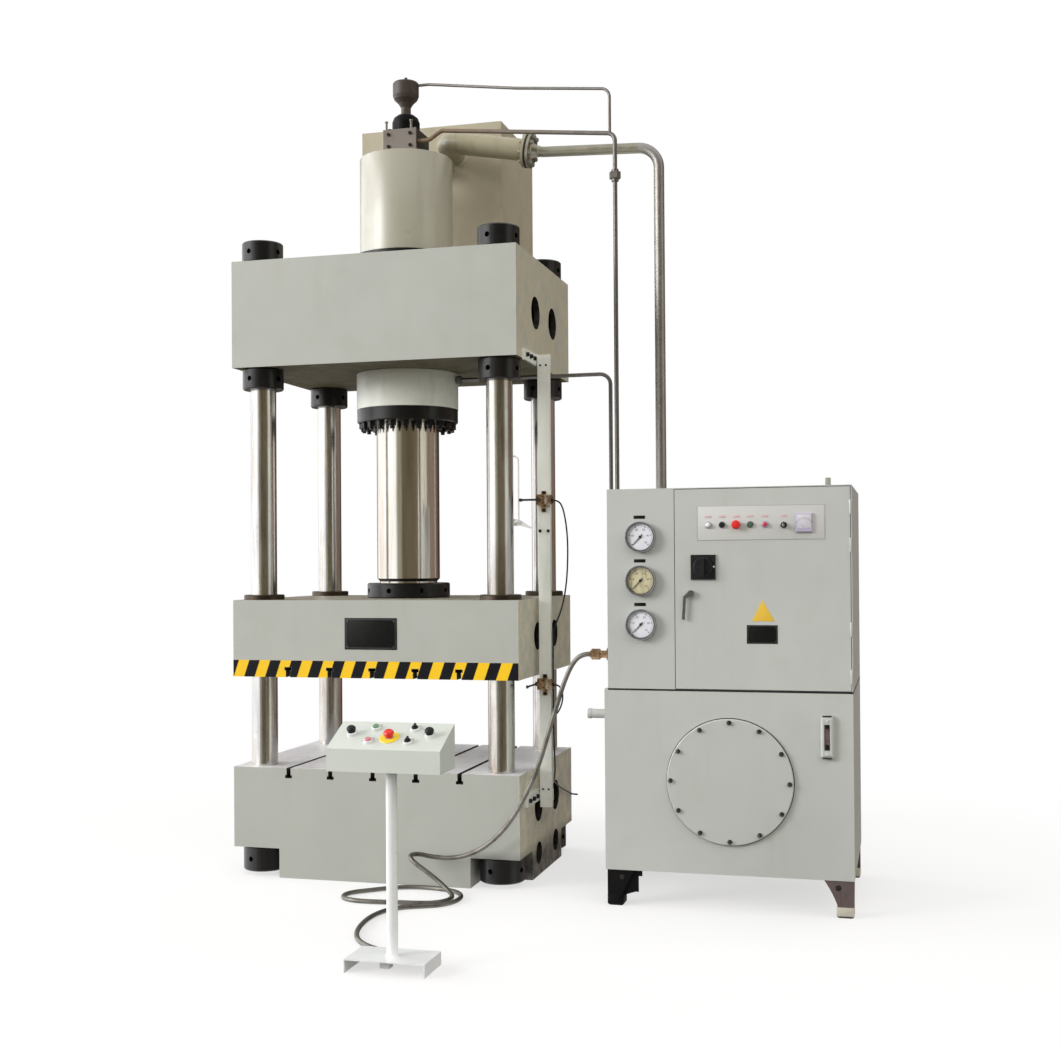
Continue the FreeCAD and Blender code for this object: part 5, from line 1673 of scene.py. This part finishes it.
@dataclass
class StandTrim(Assembly):
    """Bezels, the stop's ring, bare labels and a lens on the push-button stand."""

    edge: Point = (0.611, -1.976, 0.860)
    slope: Point = (0.0, 0.90426, 0.42701)
    normal: Point = (0.0, -0.42701, 0.90426)
    stop_up_slope: float = 0.086
    stop_ring: Profile = ((0.0158, 0), (0.0395, 0), (0.0395, 0.0024), (0.0385, 0.0034), (0.0158, 0.0034),
                          (0.0158, 0))
    label: Profile = ((-0.017, 0.022), (0.017, 0.022), (0.017, 0.032), (-0.017, 0.032))
    lens: Profile = ((0, 0.0185), (0.008, 0.0182), (0.011, 0.017), (0.0125, 0.0135), (0.0125, 0.0075),
                     (0.010, 0.0072))

    def at(self, across: float, up_slope: float) -> Vector:
        """Return a point on the sloping panel, from its middle and its front edge."""
        return Vector(self.edge) + RIGHT * across + Vector(self.slope) * up_slope

    def build(self) -> None:
        """Fit the rings, the labels and the lens."""
        normal = Vector(self.normal)
        ring = Shape().turned(self.stop_ring, self.at(0, self.stop_up_slope), normal, 48)
        self.wardrobe.fit(ring, "stop_ring", "yellow_ring", FRAME, "stand_paint")
        bezels, labels = Shape(), Shape()
        for spot in PALM_SPOTS + NAMED_SPOTS:
            bore, radius, tall = spot.radius - 0.006, spot.radius, spot.tall
            section = [(bore, 0), (radius, 0), (radius - 0.001, tall - 0.0015), (radius - 0.0025, tall),
                       (bore, tall), (bore, 0)]
            bezels.turned(section, self.at(spot.across, spot.up_slope), normal, 32)
        self.wardrobe.fit(bezels, "stand_bezels", "bezel_pale", FRAME, "stand_paint")
        for spot in NAMED_SPOTS:
            corners = [self.at(spot.across + over, spot.up_slope + up) for over, up in self.label]
            labels.prism(corners, normal * 0.001)
        self.wardrobe.fit(labels, "stand_labels", "strip_rim")
        lens = Shape().turned(self.lens, self.at(GREEN_SPOT.across, GREEN_SPOT.up_slope), normal, 28)
        self.wardrobe.fit(lens, "stand_lens_green", "green_lens", "console_green_body", "green_plastic")


# ------------------------------------------------------------------------------ hollows
@dataclass
class Hollows(Assembly):
    """Painted shade in the three frame boxes' insides and T-slots, under the crown and on the valve block's
    right side; the bed's top lightened and the slide's top darkened as painted light and shade; a painted
    reflection on the thin pipe; and other faces with their own finish.
    """

    skin: float = 0.0015
    near_face: float = 0.0005
    slot_half: float = 0.0187
    slot_depth: float = 0.0515
    foot_half_width: float = 0.502
    foot_half_depth: float = 0.295
    foot_top: float = 0.146
    crown_foot: float = 2.570
    crown_top: float = 3.110
    olive_end: float = 1.15
    brown_end: float = 0.62
    right_legs: float = 1.9
    block_side: float = 0.0925
    block_top: float = 3.852
    dome_foot: float = 3.944
    isolator: Area = (1.60, 1.73, 1.0, 1.61)

    def under_skin(self, at: Vector, half_width: float = BOX_HALF_WIDTH,
                   half_depth: float = BOX_HALF_DEPTH) -> bool:
        """Say whether a point lies under the skin of an upright box round the ram's axis.

        Args:
            at: The point.
            half_width: Half the box's width.
            half_depth: Half its depth.

        Returns:
            True inside the four walls.
        """
        return abs(at.x) < half_width - self.skin and abs(at.y) < half_depth - self.skin

    def within(self, at: Vector, low: float, high: float) -> bool:
        """Say whether a point lies under the skin of a frame box, its slots and bores among it.

        Args:
            at: The point.
            low: The box's underside.
            high: The box's top.

        Returns:
            True inside the box.
        """
        return self.under_skin(at) and low + self.skin < at.z < high - self.skin

    def in_bed(self, at: Vector) -> bool:
        """Say the same of the bed, whose four lower corners are cut away."""
        return self.within(at, 0.0, BED_TOP) and (at.z > self.foot_top + self.skin or self.in_foot(at))

    def in_foot(self, at: Vector) -> bool:
        """Say whether a low point lies under the skin of either of the bed's crossed feet."""
        return (self.under_skin(at, half_depth=self.foot_half_depth)
                or self.under_skin(at, half_width=self.foot_half_width))

    def in_slot(self, at: Vector, surface: float, inward: int) -> bool:
        """Say whether a point is on a T-slot's wall.

        Args:
            at: The point.
            surface: Height of the slotted face.
            inward: 1 where the slots are cut upwards, -1 where down.

        Returns:
            True on the walls and the roof of a slot.
        """
        depth = (at.z - surface) * inward
        near = any(abs(at.x - centre) < self.slot_half for centre in SLOT_CENTRES)
        return near and self.near_face < depth < self.slot_depth and abs(at.y) < BOX_HALF_DEPTH - self.skin

    def in_isolator(self, at: Vector) -> bool:
        """Say whether a point of the panel's instruments is on the isolator's base."""
        left, right, foot, head = self.isolator
        return left < at.x < right and foot < at.z < head

    def in_gasket(self, at: Vector) -> bool:
        """Say whether a point is on the gasket between the wide pipes' flanges.

        Args:
            at: The point.

        Returns:
            True from one flange's inner face to the other's.
        """
        along = (at - Vector(Pipework.flange_face)).dot(Vector(Pipework.fall)) - Pipework.thickness
        return -self.near_face < along < Pipework.gasket + self.near_face

    def build(self, nodes: dict[str, bpy.types.Object]) -> None:
        """Paint the hollows and the other faces; on one node a later finish wins.

        Args:
            nodes: The CAD nodes by name.
        """
        for node, finish, holds in (
                ("bed", "hollow_shade", self.in_bed),
                ("bed", "slot_shade", lambda at: self.in_slot(at, BED_TOP, -1)),
                # Pale table top with painted light from above.
                ("bed", "table_top_and_light", lambda at: at.z > BED_TOP - self.near_face),
                ("slide", "hollow_shade", lambda at: self.within(at, SLIDE_FOOT, SLIDE_TOP)),
                ("slide", "slot_shade", lambda at: self.in_slot(at, SLIDE_FOOT, 1)),
                # Oil and painted shade on the slide's top.
                ("slide", "slide_top_oil_and_shade", lambda at: at.z > SLIDE_TOP - self.near_face),
                ("crown", "hollow_shade", lambda at: self.within(at, self.crown_foot, self.crown_top)),
                # Painted shade under the crown.
                ("crown", "underside", lambda at: at.z < self.crown_foot + self.near_face),
                ("main_pipe", "pipe_olive", lambda at: at.x < self.olive_end),
                ("main_pipe", "rubber_seal", self.in_gasket),
                # Painted reflection of the tank on the pipe in front of it.
                ("pressure_pipe", "pipe_tank_reflection", lambda at: at.x < self.brown_end),
                ("tank_legs", "leg_worn", lambda at: at.x > self.right_legs),
                ("head_block", "block_shade", lambda at: at.x > self.block_side and at.z < self.block_top),
                ("pilot_valve", "black_paint", lambda at: at.z < self.dome_foot),
                ("panel_instruments", "black_plastic", self.in_isolator)):
            self.wardrobe.repaint(nodes[node], finish, holds)


# ------------------------------------------------------------------------------ studio
@dataclass(frozen=True)
class Sun:
    """One wide far lamp; its azimuth runs from straight in front of the press to the right."""

    name: str
    azimuth: float
    height: float
    energy: float
    spread: float
    colour: Colour
    diffuse: bool = True
    glossy: bool = True

    def hang(self) -> None:
        """Hang the lamp."""
        data = bpy.data.lights.new(self.name, "SUN")
        data.energy = self.energy
        data.color = self.colour
        data.angle = math.radians(self.spread)
        azimuth, height = math.radians(self.azimuth), math.radians(self.height)
        level = Vector((math.sin(azimuth), -math.cos(azimuth), 0)) * math.cos(height)
        lamp = bpy.data.objects.new(self.name, data)
        lamp.visible_diffuse, lamp.visible_glossy = self.diffuse, self.glossy
        lamp.rotation_euler = (-level - UP * math.sin(height)).to_track_quat("-Z", "Y").to_euler()
        bpy.context.scene.collection.objects.link(lamp)


class Seen(Enum):
    """Which rays meet a piece of the studio: the camera's, diffuse ones and mirrored ones."""

    BY_CAMERA = (True, False, False)
    BY_DIFFUSE = (False, True, False)
    BY_MIRRORS = (False, False, True)


SUNS = (
    Sun("key", -55, 18, 2.0, 24, (1.0, 0.99, 0.97)),
    Sun("rim", -100, 15, 2.2, 36, (1.0, 0.99, 0.98)),
    Sun("fill", 42, 18, 1.5, 95, (1.0, 0.95, 0.84), glossy=False),
    Sun("sheen", -80, 8, 5.0, 50, (1.0, 1.0, 1.0), diffuse=False),
)
WHITE = (1.0, 1.0, 1.0)
DRUM_TONES = (
    (-180, (0.04, 0.03, 0.02)), (-152, (0.10, 0.07, 0.05)), (-138, (0.26, 0.21, 0.15)), (-130, WHITE),
    (-26, WHITE), (-21, (0.30, 0.30, 0.24)), (-6, (0.28, 0.28, 0.22)), (-2, (0.12, 0.10, 0.065)),
    (42, (0.12, 0.10, 0.065)), (58, (0.17, 0.14, 0.10)), (64, (0.66, 0.67, 0.58)), (88, (0.66, 0.67, 0.58)),
    (94, (0.22, 0.16, 0.13)), (140, (0.21, 0.16, 0.12)), (156, (0.06, 0.04, 0.03)), (180, (0.04, 0.03, 0.02)),
)


@dataclass
class Studio:
    """Camera, lamps, floor and the drum of pale and dark cards that polished metal shows."""

    position: Point = (2.54885, -6.96766, 1.56828)
    yaw: float = 15.118
    pitch: float = 0.4434
    roll: float = -0.3856
    lens: float = 47.34
    sensor: float = 36
    shift: float = 0.0213
    farthest: float = 200
    sky_colour: Colour = (1.0, 0.99, 0.98)
    sky_strength: float = 0.62
    floor_size: float = 60
    floor_grey: float = 0.93
    floor_fades: tuple[float, float, float, float] = (2.2, 4.5, 0.6, 1.0)
    bounce_colour: Colour = (1.0, 0.86, 0.66)
    bounce_strength: float = 0.1
    bounce_depth: float = 0.004
    drum_radius: float = 14
    drum_height: float = 16
    drum_middle: float = 4
    drum_strength: float = 1.4

    def build(self) -> None:
        """Set everything up."""
        self.camera()
        self.world()
        for sun in SUNS:
            sun.hang()
        self.floor()
        self.bounce()
        self.drum()
        bpy.context.scene.view_settings.view_transform = "Standard"
        log.info("studio set")

    def camera(self) -> None:
        """Stand the camera where the photograph was taken from."""
        data = bpy.data.cameras.new("camera")
        data.lens = self.lens
        data.sensor_width = self.sensor
        data.shift_y = self.shift
        data.clip_end = self.farthest
        yaw, pitch, roll = (math.radians(a) for a in (self.yaw, self.pitch, self.roll))
        ahead = Vector((-math.sin(yaw) * math.cos(pitch), math.cos(yaw) * math.cos(pitch), math.sin(pitch)))
        level = Vector((math.cos(yaw), math.sin(yaw), 0))
        upright = level.cross(ahead)
        right = level * math.cos(roll) + upright * math.sin(roll)
        up = upright * math.cos(roll) - level * math.sin(roll)
        pose = Matrix((right, up, -ahead)).transposed().to_4x4()
        pose.translation = Vector(self.position)
        camera = bpy.data.objects.new("camera", data)
        camera.matrix_world = pose
        bpy.context.scene.collection.objects.link(camera)
        bpy.context.scene.camera = camera

    def world(self) -> None:
        """Light from all round, white where the camera looks and where mirrors and glass do."""
        world = bpy.data.worlds.new("studio")
        world.use_nodes = True
        tree = world.node_tree
        sky, white = tree.nodes["Background"], tree.nodes.new("ShaderNodeBackground")
        for node, colour, strength in ((sky, self.sky_colour, self.sky_strength), (white, WHITE, 1.0)):
            node.inputs["Color"].default_value = (*colour, 1)
            node.inputs["Strength"].default_value = strength
        path = tree.nodes.new("ShaderNodeLightPath")
        shows_white = path.outputs["Is Camera Ray"]
        for ray in ("Is Glossy Ray", "Is Transmission Ray"):
            either = tree.nodes.new("ShaderNodeMath")
            either.operation = "MAXIMUM"
            tree.links.new(shows_white, either.inputs[0])
            tree.links.new(path.outputs[ray], either.inputs[1])
            shows_white = either.outputs[0]
        mixed = mix_shaders(tree, shows_white, sky.outputs[0], white.outputs[0])
        tree.links.new(mixed, tree.nodes["World Output"].inputs["Surface"])
        bpy.context.scene.world = world

    def stand(self, name: str, shape: bmesh.types.BMesh, material: bpy.types.Material, seen: Seen
              ) -> bpy.types.Object:
        """Stand a piece of the studio where only some rays meet it.

        Args:
            name: Its name.
            shape: Its mesh, which is used up.
            material: Its material.
            seen: Which rays meet it.

        Returns:
            The piece.
        """
        data = bpy.data.meshes.new(name)
        shape.to_mesh(data)
        shape.free()
        data.materials.append(material)
        piece = bpy.data.objects.new(name, data)
        piece.visible_camera, piece.visible_diffuse, piece.visible_glossy = seen.value
        piece.visible_shadow = False
        bpy.context.scene.collection.objects.link(piece)
        return piece

    def sheet(self, height: float) -> bmesh.types.BMesh:
        """Make a wide level sheet.

        Args:
            height: How high it lies.

        Returns:
            Its mesh.
        """
        shape = bmesh.new()
        bmesh.ops.create_grid(shape, x_segments=1, y_segments=1, size=self.floor_size,
                              matrix=Matrix.Translation((0, 0, height)))
        return shape

    def floor(self) -> None:
        """Lay a plain pale floor that fades into the white backdrop."""
        graph = Graph("floor")
        graph.set(Base_Color=(*[self.floor_grey] * 3, 1), Roughness=0.8, Specular_IOR_Level=0.0)
        reach = graph.nodes.new("ShaderNodeVectorMath")
        reach.operation = "LENGTH"
        graph.links.new(graph.coordinates, reach.inputs[0])
        path = graph.nodes.new("ShaderNodeLightPath")
        far = graph.span(reach.outputs["Value"], *self.floor_fades)
        share = graph.both(far, path.outputs["Is Camera Ray"])
        white = graph.nodes.new("ShaderNodeEmission")
        white.inputs["Strength"].default_value = 1.0
        mixed = mix_shaders(graph.material.node_tree, share, graph.shader.outputs[0], white.outputs[0])
        graph.links.new(mixed, graph.nodes["Material Output"].inputs["Surface"])
        self.stand("floor", self.sheet(0), graph.material, Seen.BY_CAMERA).visible_shadow = True

    def glow(self, name: str, strength: float) -> tuple[Graph, bpy.types.Node]:
        """Start a material that only glows.

        Args:
            name: The material's name.
            strength: How brightly.

        Returns:
            Its graph and its Emission node.
        """
        graph = Graph(name)
        light = graph.nodes.new("ShaderNodeEmission")
        light.inputs["Strength"].default_value = strength
        graph.links.new(light.outputs[0], graph.nodes["Material Output"].inputs["Surface"])
        return graph, light

    def bounce(self) -> None:
        """Lay the dim warm light that a workshop floor throws up, just under the pale floor."""
        graph, light = self.glow("bounce", self.bounce_strength)
        light.inputs["Color"].default_value = (*self.bounce_colour, 1)
        self.stand("bounce", self.sheet(-self.bounce_depth), graph.material, Seen.BY_DIFFUSE)

    def drum(self) -> None:
        """Stand a ring of pale and dark cards round the press that only mirrors see."""
        shape = bmesh.new()
        bmesh.ops.create_cone(shape, cap_ends=False, segments=96, radius1=self.drum_radius,
                              radius2=self.drum_radius, depth=self.drum_height,
                              matrix=Matrix.Translation((0, 0, self.drum_middle)))
        graph, light = self.glow("drum", self.drum_strength)
        mapping = graph.nodes.new("ShaderNodeMapping")
        mapping.inputs["Rotation"].default_value = (0, 0, math.pi / 2)
        around = graph.nodes.new("ShaderNodeTexGradient")
        around.gradient_type = "RADIAL"
        ramp = graph.nodes.new("ShaderNodeValToRGB")
        stops = ramp.color_ramp.elements
        stops[0].color = (*DRUM_TONES[0][1], 1)
        stops[-1].color = (*DRUM_TONES[-1][1], 1)
        for azimuth, tone in DRUM_TONES[1:-1]:
            stops.new(azimuth / 360 + 0.5).color = (*tone, 1)
        graph.links.new(graph.coordinates, mapping.inputs["Vector"])
        graph.links.new(mapping.outputs["Vector"], around.inputs["Vector"])
        graph.links.new(around.outputs["Fac"], ramp.inputs["Fac"])
        graph.links.new(ramp.outputs["Color"], light.inputs["Color"])
        self.stand("drum", shape, graph.material, Seen.BY_MIRRORS)


def main() -> None:
    """Build the looks piece by piece round the frame."""
    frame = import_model()
    Studio().build()
    wardrobe = Wardrobe()
    wardrobe.dress_frame(frame)
    Hollows(wardrobe).build(frame["nodes"])
    for fitting in (*CORDS, SLIDE_PLATE, DOOR_PLATE):
        fitting.build(wardrobe)
    for assembly in (SlideTape, Barrel, GlandStuds, Pipework, RailBolts, LimitSwitches, Gauges, ControlStrip,
                     Meter, CabinetTrim, TankTrim, StandTrim):
        assembly(wardrobe).build()
        log.info("%s done", assembly.__name__)
    bpy.context.view_layer.update()


if __name__ == "__main__":
    logging.basicConfig(level=logging.INFO, format="%(message)s")
    main()
